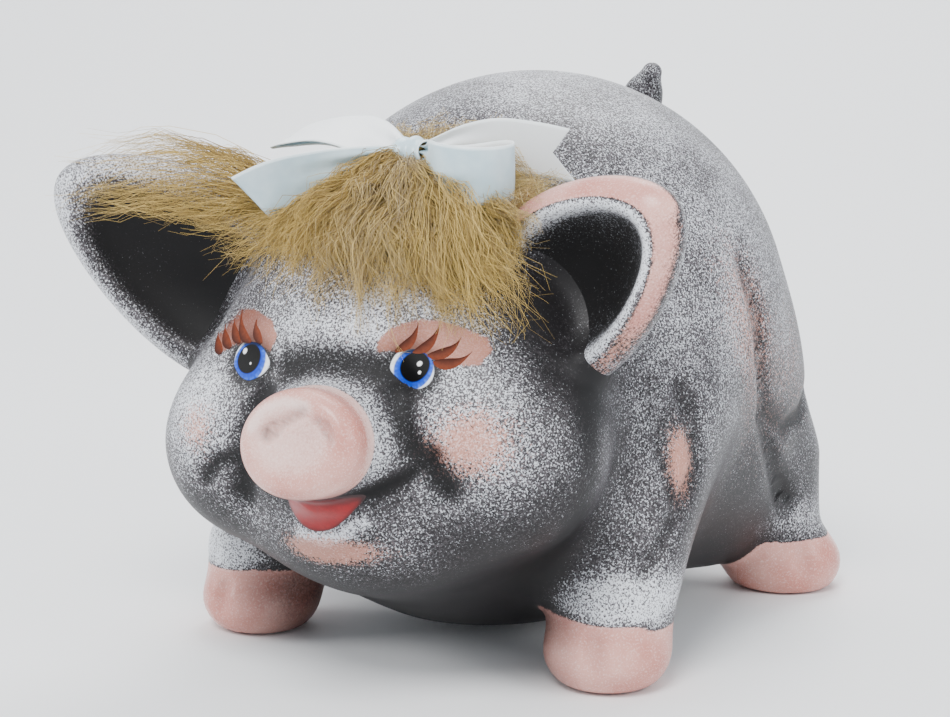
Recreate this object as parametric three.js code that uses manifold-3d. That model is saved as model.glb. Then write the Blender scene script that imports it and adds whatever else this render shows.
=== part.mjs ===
// A slip-cast ceramic pig money bank with a lock of doll hair tied by a satin bow.
// Millimetres, +Z up. The pig faces -Y and its own left side is +X.
// The origin is the middle of the footprint of the whole object, on the floor.
import * as THREE from "three";
import { mergeVertices } from "three/addons/utils/BufferGeometryUtils.js";
import { RoundedBoxGeometry } from "three/addons/geometries/RoundedBoxGeometry.js";
import Module from "manifold-3d";

// ---------------------------------------------------------------- driving dimensions
// Fits
const GAP = 0.4; // between two pieces that touch
const PLUG_CLEARANCE = 0.5; // between the stopper's stem and its hole, on the radius

// Body of the casting
const WALL = 5;
const BODY_WIDTH = 156;
const BODY_LENGTH = 168;
const BODY_HEIGHT = 161;
const BELLY_CLEARANCE = 5; // floor to the flat under the belly
const BODY_Y = 6; // middle of the body
const LOWER_BODY_WIDTH = 124;
const LOWER_BODY_LENGTH = 120;

// Head, placed from the front of the body
const HEAD_WIDTH = 120;
const HEAD_DEPTH = 92;
const HEAD_HEIGHT = 112;
const HEAD_SINK = 6; // body front to the middle of the head
const HEAD_DROP = 8.5; // middle of the body to the middle of the head
const HEAD_YAW = 3.5; // degrees
const HEAD_ROLL = -2.5; // degrees
const CHEEK_SPREAD = 72; // between the middles of the cheeks
const SNOUT_WIDTH = 33;
const SNOUT_HEIGHT = 27;
const SNOUT_REACH = 56; // middle of the head to the middle of the snout

// Legs
const FRONT_STANCE = 116; // between the middles of the front hooves
const REAR_STANCE = 130;
const FRONT_HOOF_REACH = 69; // middle of the body forward to the front hooves
const REAR_HOOF_REACH = 50;
const HOOF_WIDTH = 38;
const HOOF_LENGTH = 36;
const HOOF_HEIGHT = 27;

// Ears, from a root on the head to a tip
const EAR_WIDTH = 50;
const EAR_THICKNESS = 26;
const EAR_LENGTH = 60;
const EAR_ROOT_SPREAD = 92; // between the two roots

// Tail
const TAIL_ROOT_RADIUS = 8;
const TAIL_TIP_RADIUS = 2.5;
const TAIL_RISE = 44;

// Coin slot along the spine
const SLOT_LENGTH = 36;
const SLOT_WIDTH = 5;
const SLOT_BEHIND_MIDDLE = 36;

// Rubber stopper under the belly
const STOPPER_BEHIND_MIDDLE = 4;
const STEM_DIAMETER = 28;
const STEM_WALL = 3;
const STEM_ABOVE_WALL = 3; // from the inside of the wall to the bead
const BEAD_HEIGHT = 3;
const FLANGE_DIAMETER = 36;
const FLANGE_THICKNESS = 2.4;

// Hair and the glue under it
const HAIR_THICKNESS = 6.5;
const FRINGE_REACH = 40; // from the crown down the forehead
const SWEEP_REACH = 50; // from the crown out to the side
const PUFF_REACH = 20; // from the crown to the back
const GLUE_DIAMETER = 22;
const GLUE_THICKNESS = 2.6;
const HAIR_OVER_EAR = 1.2; // between the lock and an ear's rounded rim
const BURIED = 4; // how far a lock starts inside the casting before it is cut away

// Satin bow, all one 5/8 inch ribbon
const RIBBON_WIDTH = 16;
const RIBBON_THICKNESS = 1.4; // two layers of satin and the air between them
const KNOT_WIDTH = 15;
const KNOT_HEIGHT = 11;
const KNOT_DEPTH = 13;
const LEFT_LOOP_LENGTH = 25;
const RIGHT_LOOP_LENGTH = 38;
const LOOP_OPENING = 8;
const LEFT_TAIL_LENGTH = 36;
const RIGHT_TAIL_LENGTH = 46;

// Facet sizes
const BODY_CELL = 9;
const EAR_CELL = 6;
const TAIL_CELL = 4;
const HAIR_CELL = 6;

// ---------------------------------------------------------------- solids and closed surfaces
const wasm = await Module();
wasm.setup();
const v = (x, y, z) => new THREE.Vector3(x, y, z);
const radians = THREE.MathUtils.degToRad;

// A three.js geometry as a solid that can be cut and joined.
function solid(geometry) {
  const bare = new THREE.BufferGeometry();
  bare.setAttribute("position", geometry.getAttribute("position"));
  bare.setIndex(geometry.index);
  const merged = mergeVertices(bare, 1e-4);
  return new wasm.Manifold(
    new wasm.Mesh({
      numProp: 3,
      vertProperties: Float32Array.from(merged.attributes.position.array),
      triVerts: Uint32Array.from(merged.index.array),
    }),
  );
}

function geometryOf(made) {
  const mesh = made.getMesh();
  const geometry = new THREE.BufferGeometry();
  geometry.setAttribute("position", new THREE.BufferAttribute(mesh.vertProperties, 3));
  geometry.setIndex(new THREE.BufferAttribute(mesh.triVerts, 1));
  return geometry;
}

// A rounded shape is a function of a point: below 0 inside, above 0 outside, nearly a distance.
function egg(p, centre, radii, tilt = 0) {
  const q = p.clone().sub(centre);
  if (tilt) q.applyAxisAngle(v(1, 0, 0), radians(-tilt));
  const k0 = q.clone().divide(radii).length();
  const k1 = q.divide(radii).divide(radii).length();
  return k1 < 1e-9 ? -Math.min(radii.x, radii.y, radii.z) : (k0 * (k0 - 1)) / k1;
}

function rod(p, a, b, ra, rb) {
  const ab = b.clone().sub(a);
  const t = THREE.MathUtils.clamp(p.clone().sub(a).dot(ab) / ab.lengthSq(), 0, 1);
  return p.distanceTo(ab.multiplyScalar(t).add(a)) - (ra + (rb - ra) * t);
}

// Joins two shapes with a fillet of about k.
function join(a, b, k) {
  const h = Math.max(k - Math.abs(a - b), 0) / k;
  return Math.min(a, b) - (h * h * k) / 4;
}
const keep = (a, b, k) => -join(-a, -b, k);
const carve = (a, b, k) => keep(a, -b, k);
const mirrored = (p) => v(Math.abs(p.x), p.y, p.z);

// The edges of a grid cell: edge 4 * axis + s + 2 * t runs along an axis from the corner that is
// s and t cells along the next two axes. A crossed edge is one with its ends on either side.
const next = (axis, by) => (axis + by) % 3;
const cellEdges = Array.from({ length: 12 }, (_, e) => ({ axis: e >> 2, s: e & 1, t: (e >> 1) & 1 }));

function edgeEnds({ axis, s, t }) {
  const from = [0, 0, 0];
  from[next(axis, 1)] = s;
  from[next(axis, 2)] = t;
  const to = [...from];
  to[axis] = 1;
  return [from, to];
}

// Each face of a cell as its four edges, with the two edges that meet at each of its corners.
const cellFaces = [0, 1, 2].flatMap((axis) =>
  [0, 1].map((side) => {
    const edges = [0, 1].flatMap((w) => [4 * next(axis, 1) + w + 2 * side, 4 * next(axis, 2) + side + 2 * w]);
    const corners = new Map();
    for (const e of edges)
      for (const end of edgeEnds(cellEdges[e])) {
        const key = end.join();
        corners.set(key, { corner: end, edges: [...(corners.get(key)?.edges ?? []), e] });
      }
    return { edges, corners: [...corners.values()] };
  }),
);

// Sorts a cell's crossed edges into the separate sheets of surface that pass through it.
function sheets(crossed, inside) {
  const sheet = crossed.map((_, e) => e);
  const merge = (a, b) => {
    const [keepId, dropId] = [sheet[a], sheet[b]];
    sheet.forEach((id, e) => {
      if (id === dropId) sheet[e] = keepId;
    });
  };
  for (const face of cellFaces) {
    const cut = face.edges.filter((e) => crossed[e]);
    if (cut.length === 2) merge(...cut);
    if (cut.length === 4)
      for (const { corner, edges } of face.corners) if (inside(corner)) merge(...edges);
  }
  return sheet;
}

// The closed surface where shape = level, with one vertex for each sheet in each cell.
function surface(shape, [low, high], cell, level = 0) {
  const n = [0, 1, 2].map((i) => Math.ceil((high.getComponent(i) - low.getComponent(i)) / cell) + 1);
  const at = (i, j, k) => (k * n[1] + j) * n[0] + i;
  const value = new Float64Array(n[0] * n[1] * n[2]);
  for (let k = 0; k < n[2]; k++)
    for (let j = 0; j < n[1]; j++)
      for (let i = 0; i < n[0]; i++)
        value[at(i, j, k)] = shape(v(i, j, k).multiplyScalar(cell).add(low)) - level;
  const vertex = new Map();
  const positions = [];
  for (let k = 0; k < n[2] - 1; k++)
    for (let j = 0; j < n[1] - 1; j++)
      for (let i = 0; i < n[0] - 1; i++) {
        const valueAt = ([x, y, z]) => value[at(i + x, j + y, k + z)];
        const inside = (corner) => valueAt(corner) < 0;
        const ends = cellEdges.map(edgeEnds);
        const crossed = ends.map(([a, b]) => inside(a) !== inside(b));
        if (!crossed.includes(true)) continue;
        const sheet = sheets(crossed, inside);
        for (const id of new Set(sheet.filter((_, e) => crossed[e]))) {
          const own = ends.map((_, e) => e).filter((e) => crossed[e] && sheet[e] === id);
          const sum = v(i, j, k).multiplyScalar(own.length);
          for (const e of own) {
            const [a, b] = ends[e];
            const share = valueAt(a) / (valueAt(a) - valueAt(b));
            sum.add(v(...a).lerp(v(...b), share));
            vertex.set(12 * at(i, j, k) + e, positions.length / 3);
          }
          const start = sum.multiplyScalar(cell / own.length).add(low);
          positions.push(...settle(start, shape, level, cell / 3).toArray());
        }
      }
  const quads = [];
  for (let k = 1; k < n[2] - 1; k++)
    for (let j = 1; j < n[1] - 1; j++)
      for (let i = 1; i < n[0] - 1; i++)
        for (let axis = 0; axis < 3; axis++) {
          const c = [i, j, k];
          const d = [...c];
          d[axis] += 1;
          const inside = value[at(...c)] < 0;
          if (inside === value[at(...d)] < 0) continue;
          const around = [[1, 1], [0, 1], [0, 0], [1, 0]].map(([s, t]) => {
            const e = [...c];
            e[next(axis, 1)] -= s;
            e[next(axis, 2)] -= t;
            return vertex.get(12 * at(...e) + 4 * axis + s + 2 * t);
          });
          quads.push(inside ? around : around.reverse());
        }
  const geometry = new THREE.BufferGeometry();
  geometry.setAttribute("position", new THREE.Float32BufferAttribute(positions, 3));
  geometry.setIndex(split(quads, positions));
  return geometry;
}

// Cuts each quad along its shorter diagonal, or the other where that edge is taken already.
function split(quads, positions) {
  const edge = (a, b) => Math.min(a, b) * positions.length + Math.max(a, b);
  const long = (a, b) => Math.hypot(...[0, 1, 2].map((i) => positions[3 * a + i] - positions[3 * b + i]));
  const taken = new Set(quads.flatMap((q) => q.map((a, i) => edge(a, q[(i + 1) % 4]))));
  return quads.flatMap(([a, b, c, d]) => {
    const across = taken.has(edge(a, c)) || (!taken.has(edge(b, d)) && long(b, d) < long(a, c));
    taken.add(across ? edge(b, d) : edge(a, c));
    return across ? [a, b, d, b, c, d] : [a, b, c, a, c, d];
  });
}

// Moves a point onto the surface, by no more than a given distance.
function settle(start, shape, level, most) {
  const p = start.clone();
  for (let step = 0; step < 4; step++) {
    const d = shape(p) - level;
    const slope = v(
      shape(v(p.x + 0.05, p.y, p.z)) - shape(v(p.x - 0.05, p.y, p.z)),
      shape(v(p.x, p.y + 0.05, p.z)) - shape(v(p.x, p.y - 0.05, p.z)),
      shape(v(p.x, p.y, p.z + 0.05)) - shape(v(p.x, p.y, p.z - 0.05)),
    ).multiplyScalar(10);
    if (slope.lengthSq() < 1e-6) break;
    p.addScaledVector(slope, -d / slope.lengthSq());
  }
  const moved = p.clone().sub(start);
  return start.addScaledVector(moved, Math.min(1, most / Math.max(moved.length(), 1e-9)));
}

// ---------------------------------------------------------------- shape of the casting
const bodyMiddle = v(0, BODY_Y, BELLY_CLEARANCE + BODY_HEIGHT / 2);
const headMiddle = v(0, BODY_Y - BODY_LENGTH / 2 + HEAD_SINK, bodyMiddle.z - HEAD_DROP);
const neck = headMiddle.clone().add(v(0, 22, 3));
const headTurn = new THREE.Matrix4()
  .makeTranslation(neck.x, neck.y, neck.z)
  .multiply(new THREE.Matrix4().makeRotationZ(radians(HEAD_YAW)))
  .multiply(new THREE.Matrix4().makeRotationY(radians(HEAD_ROLL)))
  .multiply(new THREE.Matrix4().makeTranslation(-neck.x, -neck.y, -neck.z));
const headBack = headTurn.clone().invert();
const inHead = (p) => p.clone().applyMatrix4(headBack);
const onHead = (x, y, z) => headMiddle.clone().add(v(x, y, z));

const frontHoof = v(FRONT_STANCE / 2, BODY_Y - FRONT_HOOF_REACH, 9.5);
const rearHoof = v(REAR_STANCE / 2, BODY_Y + REAR_HOOF_REACH, 8.5);
const hoofRadii = v(HOOF_WIDTH / 2, HOOF_LENGTH / 2, HOOF_HEIGHT / 2);

function castingShape(p) {
  const m = mirrored(p);
  const h = inHead(p);
  const hm = mirrored(h);
  let d = egg(p, bodyMiddle, v(BODY_WIDTH / 2, BODY_LENGTH / 2, BODY_HEIGHT / 2));
  const lower = v(LOWER_BODY_WIDTH / 2, LOWER_BODY_LENGTH / 2, 38);
  d = join(d, egg(p, v(0, BODY_Y + 4, BELLY_CLEARANCE + 39), lower), 20);
  d = join(d, egg(p, headMiddle.clone().add(v(0, 36, -25)), v(58, 44, 49)), 20);
  d = join(d, egg(h, headMiddle, v(HEAD_WIDTH / 2, HEAD_DEPTH / 2, HEAD_HEIGHT / 2)), 24);
  d = join(d, egg(hm, onHead(CHEEK_SPREAD / 2, -23, -10), v(28, 24, 27)), 14);
  d = join(d, egg(h, onHead(0, -33, -5), v(28, 22, 24)), 12);
  d = join(d, egg(h, onHead(0, -27, -30), v(29, 20, 18)), 14);
  const snout = v(SNOUT_WIDTH / 2, 13, SNOUT_HEIGHT / 2);
  d = join(d, egg(h, onHead(0, -SNOUT_REACH, -3.5), snout, -14), 7);
  d = keep(d, BELLY_CLEARANCE - p.z, 4);
  const shoulder = v(BODY_WIDTH / 2 - 26, BODY_Y - 38, 70);
  d = join(d, rod(m, shoulder, frontHoof.clone().add(v(1, 3, 14)), 25, 17.5), 16);
  d = join(d, egg(m, frontHoof, hoofRadii), 6);
  d = join(d, egg(m, v(BODY_WIDTH / 2 - 29, BODY_Y + 32, 56), v(26, 38, 46)), 14);
  const hock = v(BODY_WIDTH / 2 - 21, BODY_Y + 46, 40);
  d = join(d, rod(m, hock, rearHoof.clone().add(v(-3, -2, 8)), 20, 16), 10);
  d = join(d, egg(m, rearHoof, hoofRadii), 5);
  return keep(d, -p.z, 2);
}

const room = 2 * BODY_CELL;
const sideReach = Math.max(BODY_WIDTH, FRONT_STANCE + HOOF_WIDTH, REAR_STANCE + HOOF_WIDTH) / 2;
const backReach = Math.max(BODY_LENGTH / 2, REAR_HOOF_REACH + HOOF_LENGTH / 2);
const topReach = Math.max(bodyMiddle.z + BODY_HEIGHT / 2, headMiddle.z + HEAD_HEIGHT / 2);
const castingBox = [
  v(-sideReach - room, headMiddle.y - SNOUT_REACH - room - 10, -room),
  v(sideReach + room, BODY_Y + backReach + room, topReach + room),
];

// The height of a shape's top above a place on the floor plan.
function topOf(shape, x, y) {
  let z = BODY_HEIGHT + 60;
  while (z > 0 && shape(v(x, y, z)) > 0.01) z -= Math.max(shape(v(x, y, z)) * 0.7, 0.01);
  return z;
}

// ---------------------------------------------------------------- body shell, slot and hole
const group = new THREE.Group();
const paint = {
  glaze: [0x5b5a60, 0.45],
  rubber: [0xe9e4d8, 0.7],
  hair: [0xa98a4e, 0.8],
  satin: [0xb9cbd4, 0.35],
  glue: [0xe8e0c4, 0.4],
};

function add(name, shape, [color, roughness]) {
  const material = new THREE.MeshStandardMaterial({ color, roughness, metalness: 0 });
  const mesh = new THREE.Mesh(shape.isBufferGeometry ? shape : geometryOf(shape), material);
  mesh.name = name;
  group.add(mesh);
}

const outer = solid(surface(castingShape, castingBox, BODY_CELL));
const outerGrown = solid(surface(castingShape, castingBox, BODY_CELL, GAP));
const hollow = solid(surface(castingShape, castingBox, BODY_CELL, -WALL));

const slotMiddle = v(0, BODY_Y + SLOT_BEHIND_MIDDLE, 0);
const slotOutline = new THREE.Shape();
const slotHalf = (SLOT_LENGTH - SLOT_WIDTH) / 2;
slotOutline.absarc(0, slotHalf, SLOT_WIDTH / 2, 0, Math.PI);
slotOutline.absarc(0, -slotHalf, SLOT_WIDTH / 2, Math.PI, 2 * Math.PI);
const slotCut = new THREE.ExtrudeGeometry(slotOutline, {
  depth: BODY_HEIGHT / 2,
  bevelEnabled: false,
  curveSegments: 6,
});
slotCut.translate(slotMiddle.x, slotMiddle.y, bodyMiddle.z + BODY_HEIGHT / 5);

const stopperAxis = v(0, BODY_Y + STOPPER_BEHIND_MIDDLE, 0);
const holeRadius = STEM_DIAMETER / 2 + PLUG_CLEARANCE;
const holeCut = new THREE.CylinderGeometry(holeRadius, holeRadius, 2 * (BELLY_CLEARANCE + WALL), 32);
holeCut.rotateX(Math.PI / 2);
holeCut.translate(stopperAxis.x, stopperAxis.y, BELLY_CLEARANCE + WALL / 2);

add("body_shell", outer.subtract(hollow).subtract(solid(slotCut)).subtract(solid(holeCut)), paint.glaze);

// ---------------------------------------------------------------- stopper
// A hollow rubber plug: a flange outside the belly, a stem through the wall and a bead inside.
const flangeTop = BELLY_CLEARANCE - GAP;
const beadFoot = BELLY_CLEARANCE + WALL + STEM_ABOVE_WALL;
const plugTop = beadFoot + BEAD_HEIGHT;
const bead = STEM_DIAMETER / 2 + PLUG_CLEARANCE * 0.4;
const plugProfile = [
  [0, flangeTop - FLANGE_THICKNESS],
  [FLANGE_DIAMETER / 2 - 0.8, flangeTop - FLANGE_THICKNESS],
  [FLANGE_DIAMETER / 2, flangeTop - FLANGE_THICKNESS / 2],
  [FLANGE_DIAMETER / 2 - 0.8, flangeTop],
  [STEM_DIAMETER / 2, flangeTop],
  [STEM_DIAMETER / 2, beadFoot],
  [bead, beadFoot + BEAD_HEIGHT / 3],
  [bead - 1.5, plugTop],
  [STEM_DIAMETER / 2 - STEM_WALL, plugTop],
  [STEM_DIAMETER / 2 - STEM_WALL, flangeTop + 0.6],
  [0, flangeTop + 0.6],
];
const plug = new THREE.LatheGeometry(plugProfile.map(([r, z]) => new THREE.Vector2(r, z)), 32);
plug.rotateX(Math.PI / 2);
plug.translate(stopperAxis.x, stopperAxis.y, 0);
add("stopper", solid(plug), paint.rubber);

// ---------------------------------------------------------------- ears
// side is 1 for the left ear and -1 for the right ear, which mirrors it on the head.
function earShape(p, side) {
  const h = inHead(p);
  h.x *= side;
  const root = onHead(EAR_ROOT_SPREAD / 2, -8, 30);
  const along = v(52, -16, 27).normalize();
  const front = v(0.25, -1, 0.2);
  front.addScaledVector(along, -front.dot(along)).normalize();
  const across = along.clone().cross(front);
  const q = h.sub(root);
  const local = v(q.dot(across), q.dot(front), q.dot(along) - 0.3 * EAR_LENGTH);
  const leaf = egg(local, v(0, 0, 0), v(EAR_WIDTH / 2, EAR_THICKNESS / 2, 0.68 * EAR_LENGTH));
  const bowl = egg(local, v(0, 12, 1), v(EAR_WIDTH / 2 - 8, EAR_THICKNESS / 2 + 3, EAR_LENGTH / 2));
  return carve(leaf, bowl, 5);
}

function earBox(side) {
  const size = EAR_LENGTH + EAR_WIDTH / 2;
  const root = onHead((side * EAR_ROOT_SPREAD) / 2, -8, 30).applyMatrix4(headTurn);
  return [root.clone().subScalar(size), root.clone().addScalar(size)];
}

const earsGrown = [["left_ear", 1], ["right_ear", -1]].map(([name, side]) => {
  const shape = (p) => earShape(p, side);
  add(name, solid(surface(shape, earBox(side), EAR_CELL)).subtract(outerGrown), paint.glaze);
  return solid(surface(shape, earBox(side), EAR_CELL, HAIR_OVER_EAR));
});

// ---------------------------------------------------------------- tail
const tailRoot = v(0, BODY_Y + BODY_LENGTH * 0.38, bodyMiddle.z + BODY_HEIGHT * 0.225);
const tailStops = [
  [0, 0, 0, 0],
  [0, 12, 0.27, 0.18],
  [0, 16, 0.55, 0.27],
  [3, 14, 0.8, 0.55],
  [7, 10, 1, 1],
].map(([x, y, rise, taper]) => ({
  at: tailRoot.clone().add(v(x, y, rise * TAIL_RISE)),
  radius: TAIL_ROOT_RADIUS + (TAIL_TIP_RADIUS - TAIL_ROOT_RADIUS) * taper,
}));

function tailShape(p) {
  let d = Infinity;
  for (let i = 1; i < tailStops.length; i++) {
    const [a, b] = [tailStops[i - 1], tailStops[i]];
    const piece = rod(p, a.at, b.at, a.radius, b.radius);
    d = i === 1 ? piece : join(d, piece, 3);
  }
  return d;
}

const tailBox = [
  tailRoot.clone().subScalar(TAIL_ROOT_RADIUS + 10),
  tailRoot.clone().add(v(20, 30, TAIL_RISE + 10)),
];
add("tail", solid(surface(tailShape, tailBox, TAIL_CELL)).subtract(outerGrown), paint.glaze);

// ---------------------------------------------------------------- bow
// One ribbon: a knot, two loops and two tails. Each run meets the knot with the usual gap.
// Each piece keeps a room round it, which is cut out of the hair that it lies on.
const crown = v(HEAD_ROLL * -2, headMiddle.y - 6, 0);
crown.z = topOf(castingShape, crown.x, crown.y);
const knot = v(crown.x, crown.y, crown.z + HAIR_THICKNESS + GAP + KNOT_HEIGHT / 2);
const knotOf = (grow) => {
  const shape = new RoundedBoxGeometry(KNOT_WIDTH + grow, KNOT_DEPTH + grow, KNOT_HEIGHT + grow, 2, 3);
  return solid(shape.translate(...knot));
};
add("ribbon_knot", knotOf(0), paint.satin);
const rooms = [knotOf(2 * GAP)];

// A band of ribbon through stops: each has its middle and the direction of its width.
function band(stops, width, thickness) {
  const positions = [];
  stops.forEach(({ at, wide }, i) => {
    const before = stops[Math.max(i - 1, 0)].at;
    const after = stops[Math.min(i + 1, stops.length - 1)].at;
    const thin = after.clone().sub(before).cross(wide).normalize().multiplyScalar(thickness / 2);
    const half = wide.clone().multiplyScalar(width / 2);
    for (const [s, t] of [[-1, -1], [1, -1], [1, 1], [-1, 1]])
      positions.push(...at.clone().addScaledVector(half, s).addScaledVector(thin, t));
  });
  const index = [];
  for (let i = 0; i < stops.length - 1; i++)
    for (let j = 0; j < 4; j++) {
      const [a, b] = [4 * i + j, 4 * i + ((j + 1) % 4)];
      index.push(a, b, b + 4, a, b + 4, a + 4);
    }
  const last = 4 * (stops.length - 1);
  index.push(0, 2, 1, 0, 3, 2, last, last + 1, last + 2, last, last + 2, last + 3);
  const geometry = new THREE.BufferGeometry();
  geometry.setAttribute("position", new THREE.Float32BufferAttribute(positions, 3));
  geometry.setIndex(index);
  return solid(geometry);
}

// A loop leaves the knot's side, opens, turns back at its length and returns to the knot.
// side is 1 towards the pig's left; lean tips the top of the band backwards.
const knotSide = KNOT_WIDTH / 2 + GAP;
function addLoop(name, side, length, lean, rise) {
  const wide = v(0, Math.sin(lean), Math.cos(lean));
  const open = v(0, Math.cos(lean), -Math.sin(lean));
  const stops = [];
  for (let i = 0; i <= 12; i++) {
    const turn = (i / 12) * Math.PI;
    const out = Math.pow(Math.sin(turn), 0.6);
    const at = knot.clone().add(v(side * (knotSide + out * length), 0, rise * out));
    at.addScaledVector(open, side * Math.cos(turn) * (LOOP_OPENING / 2) * (0.4 + 0.6 * out));
    stops.push({ at, wide });
  }
  add(name, band(stops, RIBBON_WIDTH, RIBBON_THICKNESS), paint.satin);
  const ends = [-2, length + RIBBON_THICKNESS + GAP].map((out) => ({
    at: knot.clone().add(v(side * (knotSide + out), 0, (rise * out) / length)),
    wide,
  }));
  const thickness = LOOP_OPENING + RIBBON_THICKNESS + 4 * GAP;
  rooms.push(band(ends, RIBBON_WIDTH + 2 * GAP, thickness));
}

addLoop("ribbon_loop_left", 1, LEFT_LOOP_LENGTH, 0, -3);
addLoop("ribbon_loop_right", -1, RIGHT_LOOP_LENGTH, 0, 5);

// A tail runs clear of the loops from the front or the back of the knot to its cut end.
function addTail(name, side, face, end, wideAtEnd) {
  const start = v(side * knotSide, face * (LOOP_OPENING / 2 + RIBBON_THICKNESS + GAP), 0);
  const stops = [0, 0.25, 0.5, 0.75, 1].map((t) => {
    const at = start.clone().lerp(end, t).add(knot);
    at.z += 4 * t * (1 - t) * 2;
    const wide = v(0, 0, 1).lerp(wideAtEnd, t);
    const along = end.clone().sub(start).normalize();
    return { at, wide: wide.addScaledVector(along, -wide.dot(along)).normalize() };
  });
  add(name, band(stops, RIBBON_WIDTH, RIBBON_THICKNESS), paint.satin);
  const beyond = (from, to) => to.clone().addScaledVector(to.clone().sub(from).normalize(), 3 * GAP);
  const first = beyond(stops[1].at, stops[0].at);
  const last = beyond(stops.at(-2).at, stops.at(-1).at);
  const longer = [
    { at: first, wide: stops[0].wide },
    ...stops.slice(1, -1),
    { at: last, wide: stops.at(-1).wide },
  ];
  rooms.push(band(longer, RIBBON_WIDTH + 4 * GAP, RIBBON_THICKNESS + 4 * GAP));
}

addTail("ribbon_tail_left", 1, 1, v(0.82, 0.56, 0).multiplyScalar(LEFT_TAIL_LENGTH), v(0, -0.3, 0.95));
addTail("ribbon_tail_right", -1, -1, v(-0.9, -0.37, -0.2).multiplyScalar(RIGHT_TAIL_LENGTH), v(0, -0.5, 0.87));

// ---------------------------------------------------------------- glue and hair
// The lock is glued to the crown and parted into four wedges around the knot's axis.
const glueRadii = v(GLUE_DIAMETER / 2, GLUE_DIAMETER / 2, GLUE_THICKNESS);
function glueOf(grow) {
  const dab = new THREE.SphereGeometry(1, 24, 12).rotateX(Math.PI / 2);
  return solid(dab.scale(...glueRadii.clone().addScalar(grow)).translate(...crown));
}
add("glue_dab", glueOf(0).subtract(outerGrown), paint.glue);

const dressed = (p) => join(castingShape(p), Math.min(earShape(p, 1), earShape(p, -1)), 6);

// A wedge of hair lies between two bearings, in degrees from straight ahead, positive to the
// pig's left. It starts inside the casting, which is then cut away from it.
function wedge(from, to, reachOut) {
  const a = v(-Math.cos(radians(from)), -Math.sin(radians(from)), 0);
  const b = v(Math.cos(radians(to)), Math.sin(radians(to)), 0);
  return (p) => {
    const q = p.clone().sub(crown);
    const over = dressed(p);
    const thick = HAIR_THICKNESS * (1 - (0.3 * q.length()) / reachOut);
    let d = keep(over - thick, -BURIED - over, 1);
    d = keep(d, q.length() - reachOut, 4);
    d = keep(d, q.dot(a) + GAP, 0.5);
    return keep(d, q.dot(b) + GAP, 0.5);
  };
}

const hairBox = [-1, 1].map((side) => crown.clone().addScalar(side * (SWEEP_REACH + 2 * HAIR_CELL)));
const cuts = [outerGrown, ...earsGrown, glueOf(GAP), ...rooms];
for (const [name, from, to, reachOut] of [
  ["hair_fringe", -42, 45, FRINGE_REACH],
  ["hair_sweep_left", 45, 118, SWEEP_REACH],
  ["hair_puff_back", 118, 242, PUFF_REACH],
  ["hair_sweep_right", 242, 318, SWEEP_REACH],
]) {
  const lock = solid(surface(wedge(from, to, reachOut), hairBox, HAIR_CELL));
  add(name, cuts.reduce((left, cut) => left.subtract(cut), lock), paint.hair);
}

// ---------------------------------------------------------------- origin
group.updateMatrixWorld(true);
const box = new THREE.Box3().setFromObject(group);
group.position.set(-(box.min.x + box.max.x) / 2, -(box.min.y + box.max.y) / 2, -box.min.z);
export default group;
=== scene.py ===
import math
from functools import partial

import bpy
import numpy as np
from mathutils import Matrix, Vector


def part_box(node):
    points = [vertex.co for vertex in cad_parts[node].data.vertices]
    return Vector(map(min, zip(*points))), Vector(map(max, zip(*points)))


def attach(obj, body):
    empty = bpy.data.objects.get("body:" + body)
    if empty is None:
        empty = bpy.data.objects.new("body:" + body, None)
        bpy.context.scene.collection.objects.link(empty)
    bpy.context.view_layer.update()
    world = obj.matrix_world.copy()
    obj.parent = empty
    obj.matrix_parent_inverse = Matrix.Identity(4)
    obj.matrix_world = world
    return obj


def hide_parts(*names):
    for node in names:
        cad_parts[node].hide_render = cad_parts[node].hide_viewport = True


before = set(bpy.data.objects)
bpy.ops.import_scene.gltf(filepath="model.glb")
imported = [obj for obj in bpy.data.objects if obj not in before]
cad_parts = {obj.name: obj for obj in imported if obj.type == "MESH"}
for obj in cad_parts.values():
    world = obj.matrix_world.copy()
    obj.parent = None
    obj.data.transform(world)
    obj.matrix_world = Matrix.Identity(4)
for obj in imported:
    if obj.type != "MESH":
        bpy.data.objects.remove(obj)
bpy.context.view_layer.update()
scene = bpy.context.scene

# ---------------------------------------------------------------- table, lights and camera
# The bank stands on a pale table that turns up into a pale wall, under soft lamps: one large one
# above and in front, a fill on each side, and one on the wall. Sizes here are in metres, and TURN is
# how far the table and the camera are turned from the bank's front to its left.
TURN = math.radians(28.5)


def tinted(*srgb):
    """A colour given as 0-255 display values."""
    return [((c / 255 + 0.055) / 1.055) ** 2.4 if c > 10 else c / 3294 for c in srgb] + [1.0]


def new_piece(name, points, faces, material):
    mesh = bpy.data.meshes.new(name)
    corners = [tuple(p) for p in np.asarray(points, float)]
    mesh.from_pydata(corners, [], [tuple(map(int, f)) for f in faces])
    mesh.polygons.foreach_set("use_smooth", [True] * len(mesh.polygons))
    mesh.materials.append(material)
    mesh.update()
    piece = bpy.data.objects.new(name, mesh)
    scene.collection.objects.link(piece)
    return piece


def sweep_profile():
    """The side view of table and wall, as (y, z) in metres."""
    depth, bend = 0.55, 0.5
    angles = np.linspace(0.1, math.pi / 2, 14)
    turn = [(depth + bend * math.sin(a), bend - bend * math.cos(a)) for a in angles]
    return [(-1.6, 0.0), (depth, 0.0), *turn, (depth + bend, 2.2)]


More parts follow.
